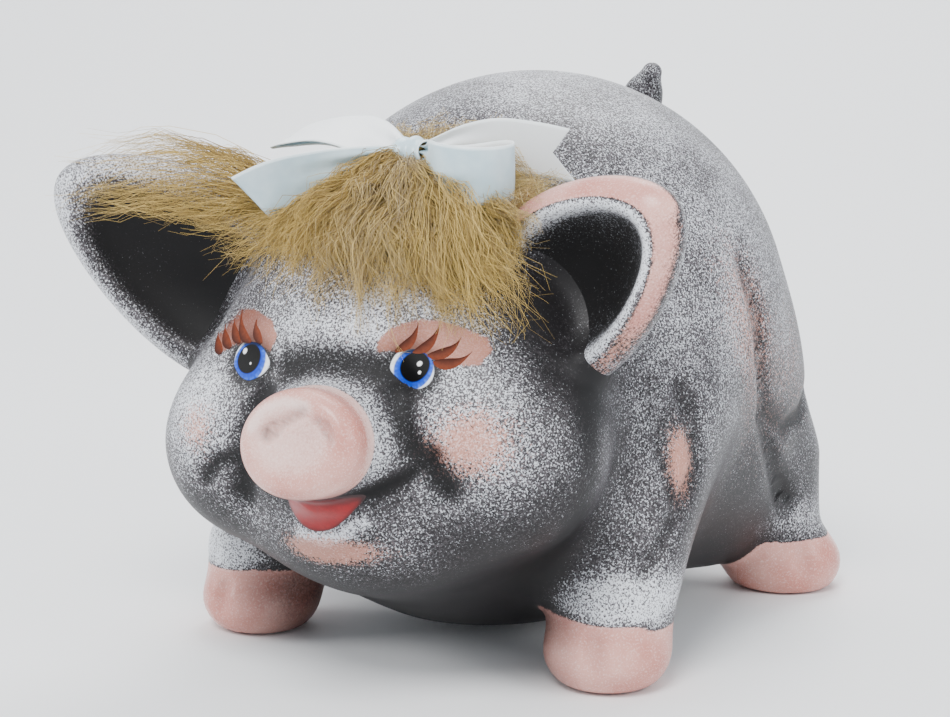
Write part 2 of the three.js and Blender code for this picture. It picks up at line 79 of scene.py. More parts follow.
pale = bpy.data.materials.new("pale_table")
pale.use_nodes = True
pale.node_tree.nodes["Principled BSDF"].inputs["Base Color"].default_value = tinted(238, 239, 240)
pale.node_tree.nodes["Principled BSDF"].inputs["Roughness"].default_value = 0.85
profile = sweep_profile()
table_points = [(x, y, z) for y, z in profile for x in (-2.2, 2.2)]
table_faces = [(2 * i, 2 * i + 1, 2 * i + 3, 2 * i + 2) for i in range(len(profile) - 1)]
table = new_piece("table_and_wall", table_points, table_faces, pale)
table.data.transform(Matrix.Rotation(TURN, 4, "Z"))


def lamp(name, at, aim, size, power):
    light = bpy.data.lights.new(name, "AREA")
    light.shape, light.size, light.energy = "DISK", size, power
    holder = bpy.data.objects.new(name, light)
    holder.location = at
    holder.rotation_euler = (Vector(aim) - Vector(at)).to_track_quat("-Z", "Y").to_euler()
    scene.collection.objects.link(holder)


lamp("key_lamp", (0.15, -0.75, 1.05), (0, 0, 0.08), 0.55, 17)
lamp("left_fill", (-0.95, -0.45, 0.5), (0, 0, 0.08), 0.6, 7)
lamp("right_fill", (0.95, -0.15, 0.55), (0, 0, 0.08), 0.6, 5)
lamp("wall_lamp", (-0.1, 0.75, 1.3), (-0.2, 0.75, 0), 0.8, 16)
world = bpy.data.worlds.new("room")
world.use_nodes = True
world.node_tree.nodes["Background"].inputs["Color"].default_value = tinted(232, 238, 246)
world.node_tree.nodes["Background"].inputs["Strength"].default_value = 0.92
scene.world = world

# Everything on the bank is worked out in millimetres from a point on the table under the belly.
# The stopper's middle is 10 mm behind that point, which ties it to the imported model.
STOPPER_BEHIND = 10
stopper_lo, stopper_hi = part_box("stopper")
origin = np.array([*((stopper_lo + stopper_hi) / 2)[:2], 0.0]) * 1000 - (0, STOPPER_BEHIND, 0)


def placed(points):
    """Millimetres from the point under the belly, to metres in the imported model's frame."""
    return (np.asarray(points, float) + origin) / 1000


# The camera stands 640 mm away, level with the back, and looks a little past the middle of the bank.
AIM = np.array([0, 0, 84.0])
LIFT, AWAY = math.radians(9.5), 640
ASIDE, LOWERED = 15.84, 6.677
right = np.array([math.cos(TURN), math.sin(TURN), 0])
back = np.array([math.sin(TURN) * math.cos(LIFT), -math.cos(TURN) * math.cos(LIFT), math.sin(LIFT)])
up = np.cross(back, right)
camera = bpy.data.objects.new("camera", bpy.data.cameras.new("camera"))
camera.data.lens, camera.data.sensor_width = 78.1, 36
camera.data.clip_start, camera.data.clip_end = 0.02, 20
eye_point = placed(AIM - right * ASIDE - up * LOWERED + back * AWAY)
facing = Matrix(np.column_stack([right, up, back]).tolist()).to_4x4()
camera.matrix_world = Matrix.Translation(Vector(eye_point)) @ facing
scene.collection.objects.link(camera)
scene.camera = camera

# ---------------------------------------------------------------- body
# The body is one hollow ceramic casting: belly, head, cheeks, snout, chin and four legs, with a
# money slot on its back and a round hole underneath. It is cast in plaster, fired and painted.
BODY_MIDDLE = (0, 6, 85.5)
NECK = np.array([0, -50, 80.0])
HEAD_TURN, HEAD_TIP = math.radians(3.5), math.radians(-2.5)
SNOUT_MIDDLE, SNOUT_TIP = (-0.4, -129, 73.8), math.radians(14)


def turned_by(turn, tip):
    about_z = np.array([[math.cos(turn), -math.sin(turn), 0], [math.sin(turn), math.cos(turn), 0], [0, 0, 1]])
    about_y = np.array([[math.cos(tip), 0, math.sin(tip)], [0, 1, 0], [-math.sin(tip), 0, math.cos(tip)]])
    return about_z @ about_y


head_turn = turned_by(HEAD_TURN, HEAD_TIP)


def in_head(p):
    """Points as the head sees them, before it is turned on the neck."""
    return (p - NECK) @ head_turn + NECK


def from_head(h):
    return (h - NECK) @ head_turn.T + NECK


def mirrored(p):
    return np.stack([np.abs(p[..., 0]), p[..., 1], p[..., 2]], -1)


def egg(p, middle, radii):
    """About how far points lie outside an egg, in mm: below 0 inside it."""
    q = p - np.asarray(middle, p.dtype)
    r = np.asarray(radii, p.dtype)
    k0 = np.sqrt((q / r) ** 2 @ np.ones(3, p.dtype))
    k1 = np.sqrt((q / (r * r)) ** 2 @ np.ones(3, p.dtype))
    return k0 * (k0 - 1) / np.maximum(k1, 1e-9)


def rod(p, a, b, radius_a, radius_b):
    """How far points lie outside a round rod from a to b."""
    a, b = np.asarray(a, p.dtype), np.asarray(b, p.dtype)
    t = np.clip((p - a) @ (b - a) / ((b - a) @ (b - a)), 0, 1)
    away = p - a - t[..., None] * (b - a)
    return np.sqrt(away**2 @ np.ones(3, p.dtype)) - radius_a - t * (radius_b - radius_a)


def join(a, b, k):
    """Two shapes as one, with a fillet of about k mm."""
    h = np.maximum(k - np.abs(a - b), 0) / k
    return np.minimum(a, b) - h * h * k / 4


def keep(a, b, k):
    """What two shapes share, with its edge rounded."""
    return -join(-a, -b, k)


def carve(a, b, k):
    """The first shape without the second, with its edge rounded."""
    return keep(a, -b, k)


def tipped(h, middle, tip):
    """Points in the frame of something tipped up about the x axis at its own middle."""
    q = h - np.asarray(middle, h.dtype)
    c, s = math.cos(tip), math.sin(tip)
    return np.stack([q[..., 0], q[..., 1] * c - q[..., 2] * s, q[..., 1] * s + q[..., 2] * c], -1)


def snout_shape(h):
    """A short round plug with a dished face."""
    q = tipped(h, SNOUT_MIDDLE, SNOUT_TIP)
    round_off = 6.5
    out = np.sqrt((q[..., 0] * 14.6 / 17.2) ** 2 + q[..., 2] ** 2) - (14.6 - round_off)
    along = np.abs(q[..., 1]) - (12.2 - round_off)
    beyond = np.hypot(np.maximum(out, 0), np.maximum(along, 0))
    plug = beyond + np.minimum(np.maximum(out, along), 0) - round_off
    return carve(plug, egg(q, (0, -16.5, 0), (12.5, 5.6, 10.2)), 5)


def core_shape(p):
    """The casting without ears, tail, slot and hole."""
    m, h = mirrored(p), in_head(p)
    hm = mirrored(h)
    d = egg(p, BODY_MIDDLE, (78, 84, 80.5))
    for q, middle, radii, fillet in (
        (p, (0, 10, 44), (62, 60, 38), 20), (p, (0, -36, 52), (58, 44, 49), 20),
        (h, (0, -72, 77), (60, 46, 56), 24), (hm, (36, -95, 67), (28, 24, 27), 14),
        (h, (0, -105, 72), (28, 22, 24), 12), (h, (0, -99, 47), (29, 20, 18), 14),
    ):
        d = join(d, egg(q, middle, radii), fillet)
    d = join(d, snout_shape(h), 7)
    d = keep(d, 5 - p[..., 2], 4)
    d = join(d, rod(m, (52, -32, 70), (58.6, -59.5, 23.5), 25, 16.8), 16)
    d = join(d, egg(m, (57.6, -62.5, 9.5), (17.8, 17.8, 12.8)), 6)
    d = join(d, egg(m, (49, 38, 56), (26, 38, 46)), 14)
    d = join(d, rod(m, (57, 52, 40), (62, 54, 16.5), 20, 16), 10)
    d = join(d, egg(m, (65, 56, 8.5), (19, 18, 13.5)), 5)
    return keep(d, -p[..., 2], 2)


EAR_ROOT = np.array([46, -80, 107.0])
EAR_LENGTH_MIDDLE = 18


def ear_axes():
    """The left ear's own axes on the head: across, to its front, and along to its tip."""
    along = np.array([52.0, -16.0, 27.0])
    along /= np.linalg.norm(along)
    front = np.array([0.25, -1.0, 0.2])
    front -= along * (front @ along)
    front /= np.linalg.norm(front)
    return np.column_stack([np.cross(along, front), front, along])


def in_ear(p, side):
    h = in_head(p) * (side, 1, 1) - EAR_ROOT
    return h @ ear_axes() - (0, 0, EAR_LENGTH_MIDDLE)


def in_leaf(p, side):
    """Points as the ear's round leaf sees them before it is narrowed towards its tip."""
    q = in_ear(p, side)
    if side > 0:
        z, width, shear = (q[..., 2] + 5) / 0.90, 0.97, 0.08
    else:
        z, width, shear = (q[..., 2] - 1.5) / 1.10, 1.05, 0.14
    taper = width * (1.08 - 0.30 * np.clip((z + 10) / 50, 0, 1))
    return np.stack([(q[..., 0] + shear * z) / taper, q[..., 1], z], -1)


BOWL = (0.6, 12, 0.5), (18.2, 16, 31.5)


def ear_shape(p, side):
    """A leaf hollowed by a bowl, with a rolled rim."""
    q = in_leaf(p, side)
    return carve(egg(q, (0, 0, 0), (25, 13, 40.8)), egg(q, *BOWL), 4.5)


TAIL_STOPS = [((0, 69.8, 121.7), 8.5), ((-1, 81.8, 133.6), 7.6), ((-1, 85.8, 145.9), 7.2),
              ((1.5, 83.8, 156), 6), ((6, 80.5, 163.5), 3.4)]


def tail_shape(p):
    d = None
    for (a, ra), (b, rb) in zip(TAIL_STOPS, TAIL_STOPS[1:]):
        piece = rod(p, a, b, ra, rb)
        d = piece if d is None else join(d, piece, 3)
    return d


def swelling(own, core):
    """An ear or a tail as the body feels it: near the body it swells the clay up into a fillet,
    and further out it shrinks, so that the body's stub stays inside the piece itself."""
    return own + 0.4 + np.clip((core - 3) / 6, 0, 1) * 3


SLOT_BEHIND, SLOT_HALF, SLOT_WIDTH, SLOT_BOTTOM = 42, 15.5, 5, 150
HOLE_RADIUS, HOLE_TOP = 14.5, 20


def body_shape(p):
    """The whole casting, with the ears' and tail's stubs and pits for the slot and the hole."""
    core = core_shape(p)
    d = core
    for side in (1, -1):
        d = join(d, swelling(ear_shape(p, side), core), 7)
    d = join(d, swelling(tail_shape(p), core), 6)
    x, y, z = p[..., 0], p[..., 1], p[..., 2]
    slot = np.hypot(x, np.maximum(np.abs(y - SLOT_BEHIND) - SLOT_HALF, 0)) - SLOT_WIDTH / 2
    d = carve(d, np.maximum(slot, SLOT_BOTTOM - z), 1.2)
    hole = np.hypot(x, y - STOPPER_BEHIND) - HOLE_RADIUS
    return carve(d, np.maximum(hole, z - HOLE_TOP), 1.0)


def fade(value, low, high):
    """0 up to low, 1 from high on, and smooth between."""
    t = np.clip((value - low) / (high - low), 0, 1)
    return t * t * (3 - 2 * t)


def near_line(p, points):
    """Distance to a line through points; a point given as (x, z) ignores depth."""
    points = np.asarray(points, float)
    q = p if points.shape[1] == 3 else p[..., [0, 2]]
    best = None
    for a, b in zip(points, points[1:]):
        t = np.clip((q - a) @ (b - a) / max((b - a) @ (b - a), 1e-9), 0, 1)
        away = np.sqrt(((q - a - t[..., None] * (b - a)) ** 2).sum(-1))
        best = away if best is None else np.minimum(best, away)
    return best


def dent(p, points, width):
    """1 on the line, falling away over its width."""
    return np.exp(-((near_line(p, points) / width) ** 2))


MOUTH = [(-27, 66.5), (-23.5, 64.1), (-17, 61.7), (-11.1, 60.1), (-6.1, 59.6), (-1.4, 59.4), (7.2, 59.8),
         (13.9, 61.4), (21.3, 64.9), (26.7, 69.3), (29, 71.5)]
BRIDGE = [(-13, 92.5), (-4.4, 94.4), (3.2, 94.1), (10.2, 92.9), (15.6, 91.0), (19.0, 86.0)]
CHEEK_CREASE = [(19.5, 84.5), (21.5, 77.6), (23.7, 72.5), (27.9, 67.9), (32.1, 62.4)]
FAR_CREASE = [(-19.5, 84.5), (-22.5, 77.6), (-25, 71), (-27, 65), (-29, 57.5)]
FAR_DIMPLE = [(-40.5, 61), (-36, 66), (-30, 67.5)]
LIP = [(-8.5, 48.3), (-2.4, 47.3), (4.0, 49.0), (9.6, 52.8)]
NOSTRILS = [[(-8.2, 78.2), (-6.2, 79.4)], [(8.6, 80.6), (9.7, 78.9)]]
NOSTRIL_CREASES = [[(-6.4, 79.4), (-2.6, 81.7), (2.3, 84.0)], [(6.6, 82.0), (8.6, 80.8), (10.8, 77.2)]]
FLANK_FOLD = [(74, -6, 112), (76.6, -2.3, 98), (77.8, -0.3, 83), (76.2, 8.5, 63.4), (74.2, 22.6, 45.2),
              (72, 37.9, 30)]
THIGH_FOLD = [(76.2, 7, 66), (76.8, 24, 58.5), (75.9, 40, 60), (72, 56, 66)]
ELBOW_FRONT = [(70.5, -54, 75), (69.6, -58, 67.4), (72.3, -56.1, 57.7), (73.9, -54.5, 50)]
ELBOW_BACK = [(72.5, -48, 82), (74.4, -45.3, 71.4), (76.3, -45.4, 60.4), (74.7, -52.1, 50.7),
              (73.4, -60.1, 41.9), (70.5, -68, 33)]
CLEFTS = [[(62, -84, 1), (61.5, -81, 8), (60, -76, 15)], [(79, 42, 1), (78, 43, 8), (75, 45, 14)]]


def face_side(h):
    """1 on the front of the face, 0 behind it."""
    return np.clip((-96 - h[..., 1]) / 8, 0, 1)


def hollows(p):
    """How deep the modelled creases sink at each point, in mm, and how dark they are painted: charcoal paint
    deepened with painted shade.
    """
    h, m = in_head(p), mirrored(p)
    face = face_side(h)
    off_snout = np.clip((snout_shape(h) - 0.5) / 3, 0, 1)
    deep, dark = np.zeros(p.shape[:-1]), np.zeros(p.shape[:-1])
    for line, width, depth, shade, guard in (
        (MOUTH, 2.3, 1.1, 1.0, 1.0), (BRIDGE, 4.5, 1.6, 0.85, off_snout),
        (CHEEK_CREASE, 4.2, 1.9, 0.85, off_snout), (FAR_CREASE, 4.2, 1.9, 0.8, off_snout),
        (FAR_DIMPLE, 2.4, 1.2, 0.7, off_snout),
    ):
        mark = dent(h, line, width) * face * guard
        deep += depth * mark
        dark = np.maximum(dark, shade * mark)
    deep -= 1.5 * dent(h, LIP, 3.2) * face
    disc = fade(-131 - h[..., 1], 0, 3)
    for line, depth, shade in zip(NOSTRILS, (3.2, 1.4), (1.0, 0.35)):
        deep += depth * dent(h, line, 1.6) * disc
        dark = np.maximum(dark, shade * dent(h, line, 1.5) * disc)
    for line, depth in zip(NOSTRIL_CREASES, (1.3, 0.9)):
        deep += depth * dent(h, line, 1.5) * disc
        dark = np.maximum(dark, 0.3 * dent(h, line, 1.1) * disc)
    for line, width, depth, shade in (
        (FLANK_FOLD, 3.2, 2.6, 0.85), (FLANK_FOLD, 1.4, 1.0, 1.0), (THIGH_FOLD, 3.2, 2.2, 0.8),
        (ELBOW_FRONT, 1.4, 1.6, 1.0), (ELBOW_BACK, 2.2, 2.0, 0.8), (ELBOW_BACK, 1.2, 1.4, 1.0),
    ):
        deep += depth * dent(m, line, width)
        dark = np.maximum(dark, shade * dent(m, line, width * 0.8))
    for line in CLEFTS:
        deep += 2.0 * dent(m, line, 2.6)
    return deep, dark


def spaced(*stops):
    """Grid lines: (from, step), (from, step) ..., (end, 0)."""
    lines = [np.arange(a, b, step) for (a, step), (b, _) in zip(stops, stops[1:])]
    return np.concatenate([*lines, [stops[-1][0]]])


def skin(shape, xs, ys, zs):
    """The closed surface where shape is 0: one point in each grid cell that it crosses."""
    value = np.empty((len(xs), len(ys), len(zs)), np.float32)
    for i in range(0, len(xs), 8):
        grid = np.stack(np.meshgrid(xs[i:i + 8], ys, zs, indexing="ij"), -1).astype(np.float32)
        value[i:i + 8] = shape(grid.reshape(-1, 3)).reshape(grid.shape[:3])
    inside = value < 0
    cells = np.array(value.shape) - 1
    total, count = np.zeros((cells.prod(), 3)), np.zeros(cells.prod())
    lines, faces = (xs, ys, zs), []
    for a in range(3):
        b, c = (a + 1) % 3, (a + 2) % 3
        cut = [slice(None)] * 3
        cut[a] = slice(0, -1)
        before = inside[tuple(cut)]
        cut[a] = slice(1, None)
        at = np.argwhere(before != inside[tuple(cut)])
        after = at.copy()
        after[:, a] += 1
        v0, v1 = value[tuple(at.T)], value[tuple(after.T)]
        t = v0 / (v0 - v1)
        point = np.stack([line[k] for line, k in zip(lines, at.T)], -1)
        point[:, a] += t * (lines[a][after[:, a]] - lines[a][at[:, a]])
        ring = []
        for db, dc in ((0, 0), (-1, 0), (-1, -1), (0, -1)):
            cell = at.copy()
            cell[:, b] += db
            cell[:, c] += dc
            flat = np.ravel_multi_index(cell.T, cells)
            np.add.at(total, flat, point)
            np.add.at(count, flat, 1)
            ring.append(flat)
        quad = np.stack(ring, 1)
        faces.append(np.where((v0 < 0)[:, None], quad, quad[:, ::-1]))
    used = np.flatnonzero(count)
    renumber = np.zeros(len(count), int)
    renumber[used] = np.arange(len(used))
    return total[used] / count[used, None], renumber[np.concatenate(faces)]


def slope(shape, p, step=0.25):
    return np.stack([shape(p + d) - shape(p - d) for d in np.eye(3) * step], -1) / (2 * step)


def outward(shape, p, step=0.25):
    """The way straight out of the surface at each point."""
    g = slope(shape, p, step)
    return g / np.maximum(np.linalg.norm(g, axis=-1, keepdims=True), 1e-6)


def settle(shape, p):
    """Moves points onto the surface where shape is 0."""
    for _ in range(4):
        g = slope(shape, p)
        move = (shape(p) / np.maximum((g * g).sum(-1), 0.2))[:, None] * g
        p = p - np.clip(move, -1.5, 1.5)
    return p


def worked_body(p):
    """The casting with its creases pressed in."""
    return body_shape(p) + hollows(p)[0]


FINEST, FINE, COARSE = ((0.82, 1.12, 2.1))
body_points, body_faces = skin(
    body_shape,
    spaced((-104, COARSE), (-46, FINE), (-20, FINEST), (16, FINE), (46, COARSE), (97, 0)),
    spaced((-146, FINEST), (-122, FINE), (-88, COARSE), (98, 0)),
    spaced((-3, COARSE), (34, FINE), (62, FINEST), (92, FINE), (112, COARSE), (171, 0)),
)
body_points = settle(worked_body, body_points)

# ---- the paint
# The casting is stained charcoal, dry-brushed in white and salmon with a nearly dry brush, and
# its hooves, snout and ear rims are painted solid dusty pink, all under a satin varnish. Light and
# shade are painted in as well: more white where the casting faces up, painted shade in closed-in
# places, under the head and belly, between the legs, round the eyes, behind the cheeks and on the
# temples, and painted highlights on the lip and above a nostril.


def near(p, middle, radii):
    """1 at the middle, falling away past the radii."""
    q = (p - np.asarray(middle)) / np.asarray(radii)
    return np.exp(-(q * q).sum(-1))


SHADE_LEFT = [(11.8, 96.4), (11.7, 99.1), (14.3, 102.4), (20.4, 104.2), (26.5, 104), (31.6, 102.3),
              (38.4, 99.2), (40.5, 96.2), (38.5, 92.8), (34.3, 92.7), (27.0, 94.6), (21.8, 96.2),
              (17.4, 96.6)]
SHADE_RIGHT = [(-40, 94.2), (-46.5, 96.5), (-45, 102), (-38.9, 105.8), (-29.5, 105.3), (-22.5, 103.3),
               (-19.4, 99.1), (-21.0, 95.2), (-26.5, 97.3), (-35.0, 96.1), (-38.3, 94.3)]


def within(q, outline):
    """Signed distance to a closed outline in x and z: below 0 inside it."""
    outline = np.asarray(outline, float)
    closed = np.vstack([outline, outline[:1]])
    flat = np.stack([q[..., 0], q[..., 2]], -1)
    away = near_line(q, closed)
    odd = np.zeros(flat.shape[:-1], bool)
    for (x0, z0), (x1, z1) in zip(closed, closed[1:]):
        if z0 == z1:
            continue
        spans = (flat[..., 1] < z0) != (flat[..., 1] < z1)
        odd ^= spans & (flat[..., 0] < (x1 - x0) * (flat[..., 1] - z0) / (z1 - z0) + x0)
    return np.where(odd, -away, away)


EYES = {
    "left": dict(
        outline=[(15.5, 92.2), (16.0, 94.8), (17.4, 96.4), (19.8, 97.1), (22.7, 96.9), (25.6, 95.2),
                 (27.1, 93.2), (27.7, 90.7), (27.0, 88.6), (25.1, 87.4), (23.0, 87.2), (20.1, 88.0),
                 (17.8, 89.8)],
        pupil=(22.3, 92.6), radii=(3.9, 3.7), iris=(21.9, 92.0), iris_radii=(5.3, 5.0),
        dots=[((23.5, 93.4), 0.62), ((23.9, 91.3), 0.4)]),
    "right": dict(
        outline=[(-33.6, 91.9), (-33.6, 94.7), (-32.0, 96.9), (-28.9, 97.5), (-25.4, 97.1), (-22.8, 95.5),
                 (-20.0, 92.8), (-21.0, 90.3), (-24.2, 88.5), (-27.0, 87.8), (-30.0, 88.6), (-32.4, 90.3)],
        pupil=(-28.0, 93.1), radii=(4.3, 3.7), iris=(-27.6, 92.6), iris_radii=(5.9, 5.1),
        dots=[((-30.2, 94.9), 0.75), ((-27.0, 92.0), 0.3)]),
}


# Dabs of white and of salmon: how strong, whose measure they go by, their middle and their reach.
# "head" turns with the head, "both" is the same on the body's left and right, "body" is there once.
WHITE_DABS = [
    (0.24, "head", (2, -110, 104), (28, 25, 13)), (0.36, "head", (41, -112, 76), (17, 25, 19)),
    (0.42, "head", (-42, -110, 76), (15, 25, 18)), (0.25, "head", (18, -124, 74), (8, 12, 14)),
    (0.25, "head", (0, -118, 97), (14, 14, 6)), (0.34, "head", (0, -112, 46), (34, 16, 13)),
    (0.9, "both", (60, -68, 26), (28, 28, 8)), (0.12, "both", (66, -70, 45), (14, 20, 20)),
    (0.45, "both", (66, 52, 25), (26, 26, 7)), (0.20, "both", (74, -10, 110), (30, 45, 42)),
    (0.15, "body", (0, 30, 165), (60, 60, 20)),
]
BLUSH_DABS = [
    (0.92, "head", (38.5, -118, 74), (13, 18, 11)), (0.75, "head", (-43, -114, 75), (8, 18, 9)),
    (1.3, "head", (-2, -118, 44.5), (15, 10, 4.8)), (1.1, "both", (73.5, -50.5, 62), (9, 5.2, 10.5)),
    (0.30, "head", (4, -112, 101), (14, 20, 7)), (0.46, "both", (76, -10, 100), (14, 16, 30)),
    (0.36, "both", (70, 44, 84), (24, 22, 34)), (0.22, "body", (0, 20, 164), (50, 50, 18)),
    (0.34, "both", (74, 10, 70), (20, 30, 34)),
]


def body_paint_and_shade(p, n):
    """White, blush, solid rose, tan eye shadow paint and dark, each 0 to 1 at every point; white and dark
    also carry painted light, shade and shadow.
    """
    h, m = in_head(p), mirrored(p)
    face = face_side(h)
    q = tipped(h, SNOUT_MIDDLE, SNOUT_TIP)
    dark = hollows(p)[1]
    # How closed in each point is by the casting round it, used for painted shade.
    closed_in = 1 - np.clip(body_shape(p + 7 * n) / 7, 0, 1)
    # Painted light and shade: more white on faces turned up, less on faces turned down and low on the body
    # off the face.
    under = np.clip(-n[:, 2] - 0.1, 0, 1)
    white = 0.44 + 0.16 * n[:, 2] - 0.16 * fade(70 - p[:, 2], 0, 45) * (1 - face)
    blush = np.zeros(len(p))
    views = {"head": h, "both": m, "body": p}
    for layer, dabs in ((white, WHITE_DABS), (blush, BLUSH_DABS)):
        for strength, view, middle, reach in dabs:
            layer += strength * near(views[view], middle, reach)
    # Painted shade on the inner sides of the front legs: less white between the legs.
    inner_leg_shade = near(m, (38, -70, 30), (22, 30, 22))
    white -= 0.4 * inner_leg_shade * np.clip(1 - 2 * np.maximum(m[:, 0] - 46, 0) / 20, 0, 1)
    hoof_line = np.where(m[:, 1] < 0, 19.0 - 0.12 * (m[:, 1] + 63), 19.0) - 0.06 * (m[:, 0] - 60)
    front_foot = rod(m, (59, -60, 0), (58, -58, 30), 22, 20)
    rear_foot = rod(m, (65, 56, 0), (61, 53, 30), 22, 18)
    on_leg = fade(3 - np.minimum(front_foot, rear_foot), 0, 4)
    # Painted shadow behind the cheeks and down to the front legs, and on the temples below the ears and hair.
    cheek_shadow_line = [(59, -80, 95), (64.5, -94, 79), (62.5, -99, 61), (50, -84, 40), (40, -75, 27)]
    cheek_shadow = dent(m, cheek_shadow_line, 8.5) * (1 - 0.6 * face)
    temple_shadow = near(h, (50, -88, 106), (13, 22, 17))
    temple_shadow = np.maximum(temple_shadow, 0.9 * near(h, (57, -93, 92), (12, 20, 18)))
    cheek_shadow = np.maximum(cheek_shadow, 0.9 * near(m, (46, -66, 34), (16, 20, 16)))
    hoof = fade(hoof_line - p[:, 2], -0.7, 0.7) * on_leg
    rose = np.maximum(hoof, fade(-q[:, 1], -2.2, 1.6) * face * (snout_shape(h) < 3))
    halo = np.exp(-(((q[:, 1] - 3) / 5) ** 2)) * np.clip(1 - snout_shape(h) / 6, 0, 1) * face
    white += 0.35 * halo
    snout_front = fade(-q[:, 1], 2, 7) * face
    inner = np.sqrt(((q[:, 0] + 0.5) / 12.8) ** 2 + ((q[:, 2] - 0.5) / 9.8) ** 2)
    white = white + ((0.18 + 0.6 * fade(1.1 - inner, -0.25, 0.5)) - white) * fade(snout_front, 0, 0.3)
    # A white arc above one nostril: a painted highlight on the snout.
    white += 0.6 * dent(h, [(-12.5, 80.2), (-9.5, 84.6), (-3.5, 87.0), (3.0, 86.0)], 1.7) * snout_front
    # A white line along the lip: a painted highlight on its ridge.
    white += 0.55 * dent(h, LIP, 2.4) * face
    # A soft dark ring round each eye: painted shade.
    for spec in EYES.values():
        dark = np.maximum(dark, 0.62 * face * np.exp(-(np.maximum(within(h, spec["outline"]), 0) / 2.2) ** 2))
    # Painted shade on the hooves' inner sides, facing the other legs.
    hoof_shade = rose * on_leg * np.clip((58 - m[:, 0]) / 16, 0, 1) * 0.7
    tan = face * np.maximum(fade(-within(h, SHADE_LEFT), -1.2, 1.2), fade(-within(h, SHADE_RIGHT), -1.2, 1.2))
    # Less white on faces turned down and on the temples, as painted shade, and less on the top of the back
    # near the tail.
    white -= 0.2 * under + 0.3 * temple_shadow + 0.25 * near(p, (25, 62, 150), (45, 36, 26))
    # Painted shade: dark in closed-in places, except on the snout's face, and on faces turned down.
    shadow = np.clip(1.25 * closed_in - 0.12, 0, 1) * (1 - 0.8 * fade(-q[:, 1], 2, 6) * face)
    shadow = np.maximum(shadow, 0.35 * np.clip(under * 1.3, 0, 1) * (1 - rose))
    # Both painted shadows darken the paint, but not the rose.
    painted_shadow = np.maximum(0.8 * np.clip(cheek_shadow, 0, 1), 0.55 * temple_shadow)
    dark = np.maximum(dark, painted_shadow * (1 - rose))
    white *= 1 - 0.55 * rose * on_leg
    dark = np.clip(np.maximum(dark, 0.9 * shadow * (1 - 0.7 * rose)) + hoof_shade, 0, 1)
    white, blush = np.clip(white, 0, 1), np.clip(blush, 0, 1)
    return {"white": white, "blush": blush, "rose": rose, "tan": tan, "dark": dark}


# The values laid on the casting; dark also carries painted shade and shadow.
PAINTS_AND_SHADE = ("White", "Blush", "Rose", "Tan", "Dark")


def add_values(piece, values):
    for name, value in values.items():
        layer = piece.data.attributes.new(name, "FLOAT", "POINT")
        layer.data.foreach_set("value", np.asarray(value, np.float32))


class Nodes:
    """Short words for building a node tree."""

    def __init__(self, tree):
        self.tree = tree

    def __call__(self, kind, settings=None, **inputs):
        node = self.tree.nodes.new(kind)
        for key, value in (settings or {}).items():
            setattr(node, key, value)
        for key, value in inputs.items():
            socket = node.inputs[int(key[1:])] if key[0] == "_" else node.inputs[key.replace("_", " ")]
            self.feed(socket, value)
        return node

    def feed(self, socket, value):
        """Gives a socket a fixed value, or what another node puts out."""
        if isinstance(value, bpy.types.NodeSocket):
            self.tree.links.new(value, socket)
        else:
            socket.default_value = value

    def sum(self, operation, a, b=0.0, c=0.0, clamp=False):
        settings = {"operation": operation, "use_clamp": clamp}
        return self("ShaderNodeMath", settings, _0=a, _1=b, _2=c).outputs[0]

    def mix(self, factor, a, b):
        node = self("ShaderNodeMix", {"data_type": "RGBA"}, _0=factor, _6=a, _7=b)
        return node.outputs[2]

    def ramp(self, value, low, high):
        return self("ShaderNodeMapRange", {"interpolation_type": "SMOOTHSTEP"}, Value=value,
                    From_Min=low, From_Max=high).outputs[0]

    def noise(self, vector, scale, detail=2.0, roughness=0.5, distortion=0.0):
        return self("ShaderNodeTexNoise", Vector=vector, Scale=scale, Detail=detail, Roughness=roughness,
                    Distortion=distortion).outputs[0]


def start_material(name):
    """A new material with the node that finishes it."""
    material = bpy.data.materials.new(name)
    material.use_nodes = True
    return material, Nodes(material.node_tree), material.node_tree.nodes["Principled BSDF"]


def lay_relief(n, finish, height, strength, depth):
    bump = n("ShaderNodeBump", Strength=strength, Distance=depth, Height=height)
    n.feed(finish.inputs["Normal"], bump.outputs["Normal"])


